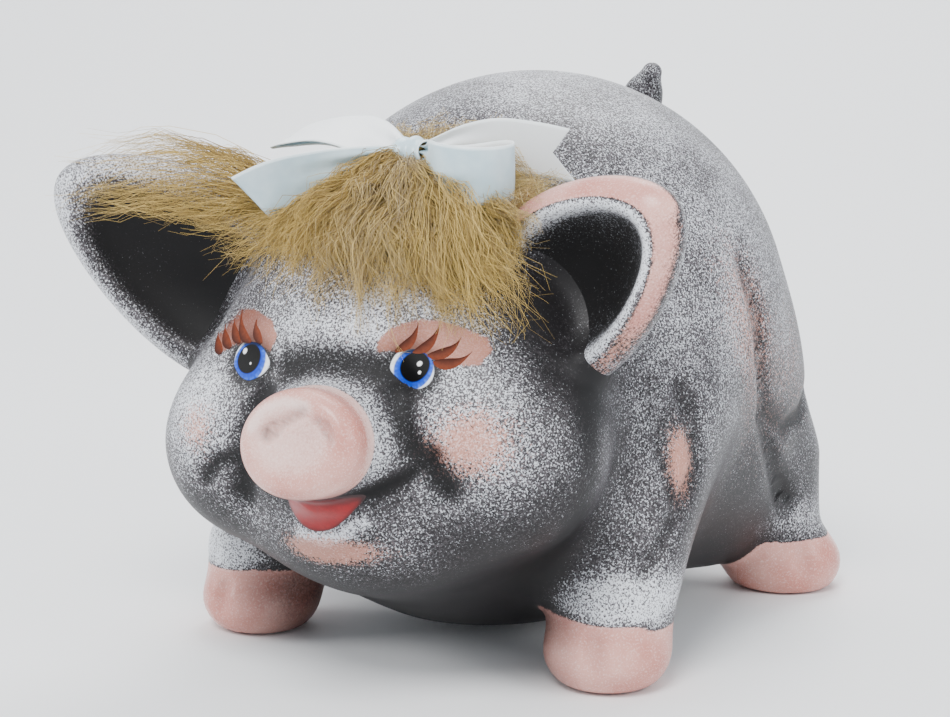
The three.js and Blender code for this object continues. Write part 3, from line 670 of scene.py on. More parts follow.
def brush_and_shade_group():
    """Turns the five values, four paints and a dark one that also carries painted shade and shadow, into the
    colour, roughness and relief of the brushed paint.
    """
    group = bpy.data.node_groups.new("dry_brushed_paint_and_shade", "ShaderNodeTree")
    for name in PAINTS_AND_SHADE:
        group.interface.new_socket(name=name, in_out="INPUT", socket_type="NodeSocketFloat")
    group.interface.new_socket(name="Color", in_out="OUTPUT", socket_type="NodeSocketColor")
    for name in ("Roughness", "Relief"):
        group.interface.new_socket(name=name, in_out="OUTPUT", socket_type="NodeSocketFloat")
    n = Nodes(group)
    given = n("NodeGroupInput").outputs
    where = n("ShaderNodeTexCoord").outputs["Object"]
    clouds = n.noise(where, 55, 3)
    wide_clouds = n.noise(where, 22, 2)
    fleck = n.noise(where, 1900, 3, 0.65, 0.25)
    bristle = n.noise(where, 1300, 4, 0.75, 0.5)
    patches = n.sum("SUBTRACT", clouds, 0.5)
    amount = n.sum("MULTIPLY_ADD", patches, 0.55, given["White"])
    amount = n.sum("SUBTRACT", amount, n.sum("MULTIPLY", given["Dark"], 0.55))
    edge = n.sum("MULTIPLY_ADD", amount, -0.27, 0.668)
    white = n.ramp(fleck, edge, n.sum("ADD", edge, 0.085))
    soft = n.ramp(bristle, n.sum("SUBTRACT", edge, 0.14), n.sum("ADD", edge, 0.10))
    blush_amount = n.sum("MULTIPLY_ADD", n.sum("SUBTRACT", wide_clouds, 0.5), 0.45, given["Blush"])
    blush_edge = n.sum("MULTIPLY_ADD", blush_amount, -0.42, 0.70)
    blush = n.ramp(bristle, blush_edge, n.sum("ADD", blush_edge, 0.12))
    base = n.mix(n.ramp(wide_clouds, 0.35, 0.65), tinted(15, 14, 16), tinted(27, 24, 26))
    base = n.mix(n.sum("MULTIPLY", soft, 0.55), base, tinted(108, 102, 107))
    thin = n.sum("MULTIPLY_ADD", given["White"], 0.5, 0.46, clamp=True)
    base = n.mix(n.sum("MULTIPLY", white, thin), base, tinted(226, 229, 235))
    base = n.mix(n.sum("MULTIPLY", blush, 0.7), base, tinted(212, 150, 130))
    rose_tone = n.mix(n.ramp(clouds, 0.3, 0.7), tinted(190, 124, 112), tinted(216, 164, 152))
    rose_tone = n.mix(n.sum("MULTIPLY", n.ramp(fleck, 0.50, 0.66), 0.30), rose_tone, tinted(244, 226, 220))
    pale = n.ramp(n.sum("MULTIPLY_ADD", n.sum("SUBTRACT", bristle, 0.5), 0.9, given["White"]), 0.35, 1.25)
    rose_tone = n.mix(n.sum("MULTIPLY", pale, 0.8), rose_tone, tinted(236, 214, 208))
    rose_edge = n.sum("MULTIPLY_ADD", n.sum("SUBTRACT", fleck, 0.5), 0.6, given["Rose"])
    base = n.mix(n.ramp(rose_edge, 0.40, 0.60), base, rose_tone)
    tan_tone = n.mix(n.ramp(clouds, 0.35, 0.65), tinted(122, 66, 48), tinted(166, 108, 88))
    tan_edge = n.sum("MULTIPLY_ADD", n.sum("SUBTRACT", bristle, 0.5), 1.1, given["Tan"])
    base = n.mix(n.sum("MULTIPLY", n.ramp(tan_edge, 0.35, 0.75), 0.9), base, tan_tone)
    uneven = n.sum("MULTIPLY_ADD", n.sum("SUBTRACT", bristle, 0.5), 0.9, 0.92)
    # Dark crease paint and painted shade pull the colour towards near black.
    shade = n.sum("MULTIPLY", given["Dark"], uneven, clamp=True)
    base = n.mix(shade, base, tinted(7, 7, 8))
    out = n("NodeGroupOutput")
    n.feed(out.inputs["Color"], base)
    rough = n.sum("MULTIPLY_ADD", white, 0.12, 0.42)
    rough = n.sum("MULTIPLY_ADD", given["Dark"], 0.3, rough)
    rough = n.sum("MULTIPLY_ADD", given["Rose"], -0.18, rough)
    n.feed(out.inputs["Roughness"], rough)
    relief = n.sum("ADD", n.sum("MULTIPLY", white, 0.7), n.sum("MULTIPLY", clouds, 0.3))
    n.feed(out.inputs["Relief"], relief)
    return group


brush_and_shade = brush_and_shade_group()


def painted_ceramic():
    material, n, finish = start_material("painted_ceramic")
    brush = n("ShaderNodeGroup", {"node_tree": brush_and_shade})
    for name in PAINTS_AND_SHADE:
        value = n("ShaderNodeAttribute", {"attribute_name": name.lower()})
        n.feed(brush.inputs[name], value.outputs["Fac"])
    n.feed(finish.inputs["Base Color"], brush.outputs["Color"])
    n.feed(finish.inputs["Roughness"], brush.outputs["Roughness"])
    lay_relief(n, finish, brush.outputs["Relief"], 0.35, 0.00012)
    finish.inputs["Specular IOR Level"].default_value = 0.3
    return material


ceramic = painted_ceramic()
body = new_piece("body_casting", placed(body_points), body_faces, ceramic)
add_values(body, body_paint_and_shade(body_points, outward(worked_body, body_points)))
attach(body, "bank")
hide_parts("body_shell")

# ---------------------------------------------------------------- ears
# Each ear is a cast leaf with a deep bowl and a rolled rim, luted to the head before firing. Its
# bowl is left dark, its charcoal deepened with painted shade, and its back is given painted shade
# where it faces down; the rim is brushed, salmon on the left ear's top and silver on the right's.


def ear_values(p, n, side):
    q = in_leaf(p, side)
    bowl = egg(q, *BOWL)
    front = fade(q[:, 1], -5, 5)
    inside_bowl = fade(2.0 - bowl, 0.0, 2.5) * fade(8.0 - q[:, 1], 0, 6)
    up_side = fade(n[:, 2], -0.3, 0.6)
    tip = fade(q[:, 2], -18, 22)
    outer = fade(bowl, 1.5, 4.5)
    # The bowl goes nearly black: dark paint with painted shade.
    dark = np.clip(0.98 * inside_bowl, 0, 1)
    behind = fade(-q[:, 1], 2, 9)
    if side > 0:
        rose = front * outer * np.maximum(up_side, 0.65 * tip) * fade(q[:, 2], -34, -14) * 0.95
        white = 0.55 + 0.35 * front * (1 - outer) + 0.1 * tip
        blush = 0.6 * front * outer
    else:
        rose = np.zeros(len(p))
        white = 0.5 + 0.3 * front * outer
        blush = 0.12 * front * outer
    # Painted shade on the back of the ear where it faces down.
    dark = np.maximum(dark, 0.35 * behind * fade(-n[:, 2], 0.1, 0.9))
    rose = rose * (1 - dark)
    white = white * (1 - rose)
    white = np.clip(white - 0.25 * behind, 0, 1)
    blush, rose = np.clip(blush, 0, 1), np.clip(rose, 0, 1)
    return {"white": white, "blush": blush, "rose": rose, "tan": np.zeros(len(p)), "dark": dark}


def whole_ear(p, side):
    """The leaf, ended a little inside the head."""
    return keep(ear_shape(p, side), -(core_shape(p) + 3.0), 1.5)


EAR_STEP = 0.85
for side, node in ((1, "left_ear"), (-1, "right_ear")):
    xs = spaced((28, EAR_STEP), (104, 0)) if side > 0 else spaced((-110, EAR_STEP), (-28, 0))
    ys, zs = spaced((-136, EAR_STEP), (-50, 0)), spaced((72, EAR_STEP), (158, 0))
    this_ear = partial(whole_ear, side=side)
    points, faces = skin(this_ear, xs, ys, zs)
    points = settle(this_ear, points)
    ear = new_piece(node + "_casting", placed(points), faces, ceramic)
    add_values(ear, ear_values(points, outward(this_ear, points), side))
    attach(ear, "bank")
    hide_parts(node)

# ---------------------------------------------------------------- tail
# The tail is a short tapered roll of clay that stands up behind and bends to the left at its tip.
# It is brushed like the body, and darker where it leaves the back, as painted shade.


def whole_tail(p):
    """The roll of clay, ended a little inside the rump."""
    return keep(tail_shape(p), -(core_shape(p) + 3.0), 1.5)


TAIL_STEP = 0.9
xs, ys = spaced((-14, TAIL_STEP), (18, 0)), spaced((58, TAIL_STEP), (98, 0))
points, faces = skin(whole_tail, xs, ys, spaced((108, TAIL_STEP), (172, 0)))
points = settle(whole_tail, points)
tail = new_piece("tail_casting", placed(points), faces, ceramic)
none = np.zeros(len(points))
white = 0.22 + 0.3 * fade(points[:, 2], 150, 165)
# Painted shade near where the tail leaves the back.
dark = 0.35 * fade(140 - points[:, 2], 0, 14)
add_values(tail, {"white": white, "blush": none, "rose": none, "tan": none, "dark": dark})
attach(tail, "bank")
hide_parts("tail")

# ---------------------------------------------------------------- painted eyes
# The eyes are painted by hand on the bare face: white corners, a blue ring, a big dark pupil and
# a white dot. Each is a thin lens of paint, so its gloss stands a little above the face.


def on_face(x, z, lift):
    """Points straight in from the front onto the face, lifted off it, in mm."""
    h = np.stack([x, np.full_like(x, -152.0), z], -1)
    for _ in range(90):
        h[..., 1] += 0.7 * worked_body(from_head(h))
    p = from_head(h)
    return p + outward(worked_body, p) * np.asarray(lift)[..., None]


def curve(a, b, c, d, f):
    """The Catmull-Rom curve between b and c."""
    return 0.5 * (2 * b + (c - a) * f + (2 * a - 5 * b + 4 * c - d) * f**2 + (3 * b - a - 3 * c + d) * f**3)


def smooth_loop(points, count):
    """A closed curve through points."""
    points = np.asarray(points, float)
    t = np.linspace(0, len(points), count, endpoint=False)
    i, f = t.astype(int), (t % 1)[:, None]
    return curve(*(points[(i + k) % len(points)] for k in (-1, 0, 1, 2)), f)


def colour_points(piece, shades):
    """Gives each point of a piece its paint colour, with any painted shade the colours hold."""
    layer = piece.data.color_attributes.new("paint", "FLOAT_COLOR", "POINT")
    solid = np.concatenate([shades, np.ones((len(shades), 1))], 1)
    layer.data.foreach_set("color", solid.astype(np.float32).ravel())


PAINT_THICK = 0.05


def paint_patch(name, outline, dome, colours, material, rings=26, spokes=96):
    """A thin lens of paint inside an outline, in x and z of the face."""
    rim = smooth_loop(outline, spokes)
    middle = rim.mean(0)
    r = np.linspace(0, 1, rings)[1:]
    grid = middle + r[:, None, None] * (rim - middle)
    flat = np.vstack([middle, grid.reshape(-1, 2)])
    rr = np.concatenate([[0], np.repeat(r, spokes)])
    lift = PAINT_THICK + dome * (1 - rr**2)
    lift[-spokes:] = -0.25
    points = on_face(flat[:, 0], flat[:, 1], lift)
    faces = [(0, 1 + i, 1 + (i + 1) % spokes) for i in range(spokes)]
    for k in range(rings - 2):
        for i in range(spokes):
            a, b = 1 + k * spokes + i, 1 + k * spokes + (i + 1) % spokes
            faces.append((a, a + spokes, b + spokes, b))
    piece = new_piece(name, placed(points), faces, material)
    colour_points(piece, colours(flat, rr))
    return piece


def gloss_paint(name, roughness, coat, gleam):
    material, n, finish = start_material(name)
    colour = n("ShaderNodeAttribute", {"attribute_name": "paint"}).outputs["Color"]
    where = n("ShaderNodeTexCoord").outputs["Object"]
    streak = n.noise(where, 900, 3, 0.6, 0.4)
    shade = n.mix(n.ramp(streak, 0.35, 0.65), tinted(214, 214, 214), tinted(255, 255, 255))
    mixed = n("ShaderNodeMix", {"data_type": "RGBA", "blend_type": "MULTIPLY"}, _0=0.6, _6=colour, _7=shade)
    n.feed(finish.inputs["Base Color"], mixed.outputs[2])
    lay_relief(n, finish, streak, 0.25, 0.0001)
    finish.inputs["Roughness"].default_value = roughness
    finish.inputs["Specular IOR Level"].default_value = gleam
    finish.inputs["Coat Weight"].default_value = coat
    finish.inputs["Coat Roughness"].default_value = 0.12
    return material


eye_gloss = gloss_paint("eye_gloss", 0.45, 0.0, 0.08)


def eye_colours(spec):
    def colours(q, rr):
        def ring(middle, radii):
            return np.sqrt((((q - middle) / radii) ** 2).sum(1))
        tones = (232, 236, 242), (16, 62, 186), (84, 140, 236), (2, 2, 3)
        white, blue, pale, black = (np.array(tinted(*tone)[:3]) for tone in tones)
        angle = np.arctan2(q[:, 1] - spec["pupil"][1], q[:, 0] - spec["pupil"][0])
        flick = 0.5 + 0.5 * np.sin(angle * 23) * np.sin(angle * 7 + 1)
        out = np.repeat(white[None], len(q), 0)
        iris, pupil = ring(spec["iris"], spec["iris_radii"]), ring(spec["pupil"], spec["radii"])
        blues = blue + (pale - blue) * (flick * fade(iris, 0.72, 0.95) * 0.6)[:, None]
        out = out + (blues - out) * fade(1.02 - iris, 0, 0.06)[:, None]
        out = out + (black - out) * fade(1.03 - pupil, 0, 0.08)[:, None]
        lid = fade(q[:, 1] - (spec["pupil"][1] + 2.2), 0, 1.6) * (iris < 1.08)
        out = out + (black - out) * (0.92 * lid)[:, None]
        out = out + (black - out) * (fade(rr, 0.93, 1.0) * 0.75)[:, None]
        for at, radius in spec["dots"]:
            dot = fade(radius * 1.15 - np.hypot(*(q - at).T), 0, radius * 0.3)
            out = out + (np.ones(3) * 0.95 - out) * dot[:, None]
        return out
    return colours


for side, spec in EYES.items():
    eye = paint_patch("painted_eye_" + side, spec["outline"], 0.3, eye_colours(spec), eye_gloss, 34, 128)
    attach(eye, "bank")

# ---------------------------------------------------------------- painted lashes
# Four or five brown strokes of a pointed brush fan out above each eye, over the tan shadow.
# Each stroke is a thin tapered ridge of paint, widest below its middle.
LASHES = {
    "left": [[(16.6, 96.6), (20.6, 98.4), (21.3, 103.6)], [(21.2, 96.2), (25.4, 97.7), (26.7, 103.3)],
             [(25.0, 95.4), (30.4, 95.8), (32.4, 99.6)], [(26.8, 93.9), (32.3, 92.8), (35.8, 96.1)]],
    "right": [[(-28.9, 97.2), (-34.6, 99.4), (-36.6, 104.9)], [(-24.8, 97.2), (-28.5, 100.0), (-28.8, 102.9)],
              [(-33.2, 96.8), (-37.6, 99.2), (-39.2, 102.4)], [(-36.2, 95.4), (-41.2, 97.4), (-43.2, 100.4)],
              [(-39.2, 93.9), (-43.6, 95.4), (-45.6, 98.2)]],
}
LASH_WIDTH = 2.5
lash_paint = gloss_paint("lash_paint", 0.6, 0.0, 0.12)


def grid_faces(rows, lanes, first=0):
    """The faces of a strip of points that are given row by row."""
    corners = [first + i * lanes + j for i in range(rows - 1) for j in range(lanes - 1)]
    return [(k, k + lanes, k + lanes + 1, k + 1) for k in corners]


def lash_strokes(strokes):
    """Points, faces and colours of one eye's brush strokes, each given by three points."""
    points, faces, shades = [], [], []
    along, across = 18, 7
    t = np.linspace(0, 1, along)[:, None]
    for a, b, c in np.asarray(strokes, float):
        middle = 2 * b - (a + c) / 2
        line = (1 - t) ** 2 * a + 2 * t * (1 - t) * (b * 0.6 + middle * 0.4) + t**2 * c
        run = np.gradient(line, axis=0)
        side = np.stack([-run[:, 1], run[:, 0]], 1) / np.linalg.norm(run, axis=1)[:, None]
        width = LASH_WIDTH * (0.25 + 0.9 * np.sin(np.pi * t[:, 0] ** 0.75)) * (1 - t[:, 0] ** 3)
        s = np.linspace(-0.5, 0.5, across)
        grid = line[:, None] + side[:, None] * (width[:, None] * s)[..., None]
        lift = 0.10 + 0.12 * (1 - (2 * s) ** 2)[None] * np.ones((along, 1))
        lift[:, [0, -1]] = 0.0
        first = len(points)
        points.extend(on_face(grid[..., 0].ravel(), grid[..., 1].ravel(), lift.ravel()))
        # Each stroke goes from lighter brown on one edge to dark brown on the other: painted light and shade
        # across the raised stroke.
        tone = np.array(tinted(58, 22, 12)[:3]), np.array(tinted(112, 54, 34)[:3])
        mix = np.clip(0.5 - s[None] * 1.3 + 0 * t, 0, 1)[..., None]
        shades.extend((tone[0] + (tone[1] - tone[0]) * mix).reshape(-1, 3))
        faces += grid_faces(along, across, first)
    return np.array(points), faces, np.array(shades)


for side, strokes in LASHES.items():
    points, faces, shades = lash_strokes(strokes)
    lashes = new_piece("painted_lashes_" + side, placed(points), faces, lash_paint)
    colour_points(lashes, shades)
    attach(lashes, "bank")

# ---------------------------------------------------------------- painted tongue
# The tongue is a low cast bump between snout and chin, painted in red gloss up to the dark line
# of the mouth.
TONGUE = [(-12.2, 61.2), (-12.3, 56.6), (-10.9, 52.9), (-7.5, 50.5), (-3.3, 49.7), (1.2, 50.9),
          (5.2, 53.6), (8.6, 56.6), (11.8, 60.6), (6.5, 61.2), (-1.4, 60.6), (-7.0, 61.0)]
tongue_gloss = gloss_paint("tongue_gloss", 0.28, 0.12, 0.35)


def tongue_colours(q, rr):
    red, dark = np.array(tinted(142, 0, 8)[:3]), np.array(tinted(40, 1, 4)[:3])
    # Darker at the rim and along the top under the snout: painted shade where the tongue meets the face.
    edge = np.clip(fade(rr, 0.82, 1.0) * 0.8 + fade(q[:, 1], 57.5, 60) * 0.7, 0, 1)[:, None]
    return red + (dark - red) * edge


tongue = paint_patch("painted_tongue", TONGUE, 1.3, tongue_colours, tongue_gloss)
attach(tongue, "bank")

# ---------------------------------------------------------------- stopper
# The stopper is a moulded rubber bung: a flange under the belly, a stem that is pushed into the
# hole, with a lip at its top that holds it, and a hollow in its underside.
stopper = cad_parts["stopper"]
bung, n, finish = start_material("stopper_rubber")
finish.inputs["Roughness"].default_value = 0.6
where = n("ShaderNodeTexCoord").outputs["Object"]
dust = n.noise(where, 420, 4, 0.7)
scuffs = n.noise(where, 90, 3, 0.6, 1.0)
tone = n.mix(n.ramp(scuffs, 0.4, 0.7), tinted(40, 39, 38), tinted(78, 75, 72))
n.feed(finish.inputs["Base Color"], tone)
lay_relief(n, finish, dust, 0.3, 0.0002)
stopper.data.materials.clear()
stopper.data.materials.append(bung)

# ---------------------------------------------------------------- glue dab
# A dab of clear glue, gone amber as it dried, holds the lock of hair to the crown.
glue, n, finish = start_material("dried_glue")
finish.inputs["Roughness"].default_value = 0.35
lumps = n.noise(n("ShaderNodeTexCoord").outputs["Object"], 320, 3)
tone = n.mix(lumps, tinted(160, 128, 80), tinted(206, 182, 138))
n.feed(finish.inputs["Base Color"], tone)
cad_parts["glue_dab"].data.materials.clear()
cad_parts["glue_dab"].data.materials.append(glue)

# ---------------------------------------------------------------- hair
# A lock of fuzzy golden doll's hair is glued to the crown and combed apart round the bow: a
# fringe, a sweep over each ear and a puff behind. Each strand follows the head, curls and frays.
CROWN = np.array([5, -78, 133.8])


def scalp(p):
    """What the hair lies on: the head with both ears."""
    return join(core_shape(p), np.minimum(ear_shape(p, 1), ear_shape(p, -1)), 8)


def hair_material():
    material, n, finish = start_material("doll_hair")
    shade = n("ShaderNodeAttribute", {"attribute_name": "tone"}).outputs["Fac"]
    where = n("ShaderNodeTexCoord").outputs["Object"]
    mottle = n.noise(where, 260, 3, 0.6)
    tone = n.mix(n.ramp(shade, 0.0, 1.0), tinted(108, 82, 26), tinted(206, 174, 90))
    tone = n.mix(n.sum("MULTIPLY", n.ramp(mottle, 0.55, 0.75), 0.35), tone, tinted(226, 198, 128))
    n.feed(finish.inputs["Base Color"], tone)
    finish.inputs["Roughness"].default_value = 0.55
    finish.inputs["Sheen Weight"].default_value = 0.25
    return material


hair = hair_material()


STRANDS = {"Copies": 5, "Spread": 0.0027, "Frizz": 0.0052, "Frizz Size": 150.0, "Thickness": 0.00009,
           "Seed": 4}


def strand_tree():
    """Guide lines in, tapered strands out: each guide is repeated with its own offset and waviness."""
    tree = bpy.data.node_groups.new("fuzzy_strands", "GeometryNodeTree")
    face = tree.interface
    face.new_socket(name="Guides", in_out="INPUT", socket_type="NodeSocketGeometry")
    for name, value in STRANDS.items():
        kind = "NodeSocketInt" if isinstance(value, int) else "NodeSocketFloat"
        face.new_socket(name=name, in_out="INPUT", socket_type=kind).default_value = value
    face.new_socket(name="Material", in_out="INPUT", socket_type="NodeSocketMaterial")
    face.new_socket(name="Strands", in_out="OUTPUT", socket_type="NodeSocketGeometry")
    n = Nodes(tree)
    given = n("NodeGroupInput").outputs
    lines = n("GeometryNodeMeshToCurve", Mesh=given["Guides"]).outputs[0]
    copies = n("GeometryNodeDuplicateElements", {"domain": "SPLINE"}, Geometry=lines, Amount=given["Copies"])
    numbered = {"data_type": "INT", "domain": "CURVE"}
    number = n("GeometryNodeInputIndex").outputs[0]
    store = n("GeometryNodeStoreNamedAttribute", numbered, Geometry=copies.outputs["Geometry"],
              Name="strand", Value=number)
    strand = n("GeometryNodeInputNamedAttribute", {"data_type": "INT"}, Name="strand").outputs[0]
    chance = n("FunctionNodeRandomValue", {"data_type": "FLOAT_VECTOR"}, ID=strand, Seed=given["Seed"])
    chance.inputs[0].default_value, chance.inputs[1].default_value = (-1, -1, -1), (1, 1, 1)
    factor = n("GeometryNodeSplineParameter").outputs["Factor"]
    fan = n.sum("MULTIPLY_ADD", factor, 0.9, 0.25)
    spread = n.sum("MULTIPLY", fan, given["Spread"])
    aside = n("ShaderNodeVectorMath", {"operation": "SCALE"}, _0=chance.outputs[0], Scale=spread).outputs[0]
    here = n("GeometryNodeInputPosition").outputs[0]
    own = n("ShaderNodeVectorMath", {"operation": "SCALE"}, _0=chance.outputs[0], Scale=0.004).outputs[0]
    spot = n("ShaderNodeVectorMath", {"operation": "ADD"}, _0=here, _1=own).outputs[0]
    wave = n("ShaderNodeTexNoise", Vector=spot, Scale=given["Frizz Size"], Detail=3.0).outputs["Color"]
    centred = n("ShaderNodeVectorMath", {"operation": "SUBTRACT"}, _0=wave, _1=(0.5, 0.5, 0.5)).outputs[0]
    frizz = n("ShaderNodeVectorMath", {"operation": "SCALE"}, _0=centred,
              Scale=n.sum("MULTIPLY", n.sum("MULTIPLY_ADD", factor, 3.0, 1.2), given["Frizz"])).outputs[0]
    offset = n("ShaderNodeVectorMath", {"operation": "ADD"}, _0=aside, _1=frizz).outputs[0]
    moved = n("GeometryNodeSetPosition", Geometry=store.outputs[0], Offset=offset).outputs[0]
    tone = n("FunctionNodeRandomValue", {"data_type": "FLOAT"}, ID=strand, Seed=9)
    shade = n.sum("MULTIPLY_ADD", tone.outputs[1], 0.75, n.sum("MULTIPLY", factor, 0.25))
    shaded = {"data_type": "FLOAT", "domain": "POINT"}
    toned = n("GeometryNodeStoreNamedAttribute", shaded, Geometry=moved, Name="tone", Value=shade).outputs[0]
    section = n("GeometryNodeCurvePrimitiveCircle", Resolution=3, Radius=given["Thickness"]).outputs[0]
    taper = n.sum("SUBTRACT", 1.15, n.sum("MULTIPLY", n.sum("POWER", factor, 2.0), 0.9))
    tubes = n("GeometryNodeCurveToMesh", Curve=toned, Profile_Curve=section, Scale=taper,
              Fill_Caps=True).outputs[0]
    rounded = n("GeometryNodeSetShadeSmooth", Geometry=tubes).outputs[0]
    real = n("GeometryNodeRealizeInstances", Geometry=rounded).outputs[0]
    done = n("GeometryNodeSetMaterial", Geometry=real, Material=given["Material"]).outputs[0]
    n.feed(n("NodeGroupOutput").inputs[0], done)
    return tree


strands_from_guides = strand_tree()
STRAND_STEPS = 9


def comb(rng, bearings, reaches, layers, droop, count, curl, rise):
    """Guide lines that leave the crown on their bearings and lie over the head to their reach."""
    angle = np.radians(rng.uniform(*bearings, count))
    u = rng.uniform(0, 1, count)
    reach = np.interp(np.degrees(angle), *reaches) * (0.42 + 0.62 * rng.uniform(0, 1, count) ** 0.7)
    lift_top = 1.0 + layers * u**0.8
    clump = np.floor(np.degrees(angle) / 4.5) + 100 * np.floor(u * 3)
    reach *= 0.86 + 0.28 * ((clump * 0.731) % 1)
    phase = (clump * 2.399) % (2 * math.pi) + rng.normal(0, 0.35, count)
    waves = 1.0 + 1.6 * ((clump * 0.618) % 1) + rng.normal(0, 0.15, count)
    swing = curl * (0.5 + 0.9 * ((clump * 0.377) % 1))
    heading = np.stack([np.sin(angle), -np.cos(angle), np.zeros(count)], 1)
    start = CROWN + heading * rng.uniform(1.0, 7.0, count)[:, None]
    start[:, 2] += 1.5 + 7.5 * u
    line, p = [start], start
    for k in range(1, STRAND_STEPS + 1):
        t = k / STRAND_STEPS
        normal = outward(scalp, p, 0.6)
        way = heading + np.array([0, 0, -1]) * (droop * t)
        way -= normal * np.minimum((way * normal).sum(1), 0)[:, None]
        way /= np.linalg.norm(way, axis=1)[:, None]
        p = p + way * (reach / STRAND_STEPS)[:, None]
        wanted = lift_top * (1 - t) ** 0.55 + 0.6 + rise * u * t * (1 - t)
        gap = scalp(p)
        pull = np.where(gap < wanted, 1.0, 0.35 + 0.3 * t)
        p = p - outward(scalp, p, 0.6) * ((gap - wanted) * pull)[:, None]
        side = np.cross(outward(scalp, p, 0.6), way)
        shift = np.sin(2 * math.pi * waves * t + phase) * swing * t**1.1
        line.append(p + side * shift[:, None])
    return np.stack(line, 1)


def grow_hair(name, node, guides, seed):
    count, steps = guides.shape[:2]
    mesh = bpy.data.meshes.new(name + "_guides")
    edges = [(i * steps + k, i * steps + k + 1) for i in range(count) for k in range(steps - 1)]
    mesh.from_pydata([tuple(p) for p in placed(guides.reshape(-1, 3))], edges, [])
    holder = bpy.data.objects.new(name + "_guides", mesh)
    scene.collection.objects.link(holder)
    growth = holder.modifiers.new("strands", "NODES")
    growth.node_group = strands_from_guides
    wanted = {**STRANDS, "Seed": seed, "Material": hair}
    for item in strands_from_guides.interface.items_tree:
        if item.in_out == "INPUT" and item.name in wanted:
            growth[item.identifier] = wanted[item.name]
    graph = bpy.context.evaluated_depsgraph_get()
    made = bpy.data.meshes.new_from_object(holder.evaluated_get(graph))
    bpy.data.objects.remove(holder)
    made.name = name
    piece = bpy.data.objects.new(name, made)
    scene.collection.objects.link(piece)
    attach(piece, "bank")
    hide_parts(node)


rng = np.random.default_rng(12)
THIN = 1.0
# Each lock: its node, guides, range of bearings, reach at bearings, layers, droop, curl and rise.
LOCKS = {
    "fringe": ("hair_fringe", 690, (-50, 58),
               ([-50, -42, -25, -5, 12, 25, 40, 48, 58], [36, 38, 42, 44, 50, 48, 50, 62, 56]),
               10.5, 1.0, 2.9, 14.0),
    "left_sweep": ("hair_sweep_left", 690, (38, 125),
                   ([38, 48, 58, 70, 90, 125], [46, 44, 52, 46, 38, 36]), 5.5, 0.8, 1.6, 3.0),
    "back_puff": ("hair_puff_back", 690, (112, 246),
                  ([112, 150, 180, 210, 246], [34, 30, 24, 26, 32]), 8.0, 0.3, 2.2, 8.0),
    "right_sweep": ("hair_sweep_right", 460, (238, 322),
                    ([238, 255, 268, 285, 300, 322], [38, 76, 102, 96, 60, 42]), 6.5, 0.25, 1.6, 4.0),
}
for name, (node, count, bearings, reaches, layers, droop, curl, rise) in LOCKS.items():
    guides = comb(rng, bearings, reaches, layers, droop, int(count * THIN), curl, rise)
    grow_hair("strands_" + name, node, guides, len(name))

# ---------------------------------------------------------------- ribbon
# The bow is one length of powder-blue satin ribbon, 16 mm wide and thin as paper, tied round the
# lock: a gathered knot, two loops and two cut tails. One face is shiny, the other dull and white.
RIBBON_WIDTH, RIBBON_THICK = 16.0, 0.45
KNOT = np.array([5, -78, 146.2])


def satin_material():
    material, n, finish = start_material("satin_ribbon")
    cloth = n("ShaderNodeUVMap", {"uv_map": "cloth"}).outputs[0]
    across = n("ShaderNodeMapping", Vector=cloth, Scale=(1.0, 14.0, 1.0)).outputs[0]
    rib = n.noise(across, 320, 2, 0.5)
    slub = n.noise(cloth, 60, 3, 0.6)
    apart = n("ShaderNodeSeparateXYZ", Vector=cloth).outputs[0]
    edge = n.ramp(n.sum("ABSOLUTE", n.sum("SUBTRACT", apart, 0.008)), 0.0070, 0.0077)
    dull = n("ShaderNodeAttribute", {"attribute_name": "dull"}).outputs["Fac"]
    tone = n.mix(n.ramp(slub, 0.35, 0.65), tinted(178, 206, 217), tinted(206, 227, 234))
    tone = n.mix(dull, tone, tinted(247, 250, 251))
    tone = n.mix(n.sum("MULTIPLY", edge, 0.6), tone, tinted(240, 247, 248))
    n.feed(finish.inputs["Base Color"], tone)
    lay_relief(n, finish, rib, 0.25, 0.00012)
    shine = n.sum("MULTIPLY_ADD", rib, 0.15, n.sum("MULTIPLY_ADD", dull, 0.3, 0.24))
    n.feed(finish.inputs["Roughness"], shine)
    finish.inputs["Sheen Weight"].default_value = 0.25
    finish.inputs["Specular IOR Level"].default_value = 0.8
    finish.inputs["Anisotropic"].default_value = 0.5
    return material


satin = satin_material()


def lay_cloth(piece, uv):
    """Gives each point of a piece its place on the ribbon, across and along, in metres."""
    layer = piece.data.uv_layers.new(name="cloth")
    corners = np.empty(len(piece.data.loops), int)
    piece.data.loops.foreach_get("vertex_index", corners)
    layer.data.foreach_set("uv", uv[corners].astype(np.float32).ravel())


def smooth_line(points, count):
    """An open curve through points."""
    points = np.asarray(points, float)
    t = np.linspace(0, len(points) - 1, count)
    i = np.minimum(t.astype(int), len(points) - 2)
    f = (t - i)[:, None]
    full = np.vstack([2 * points[0] - points[1], points, 2 * points[-1] - points[-2]])
    return curve(*(full[i + k] for k in range(4)), f)


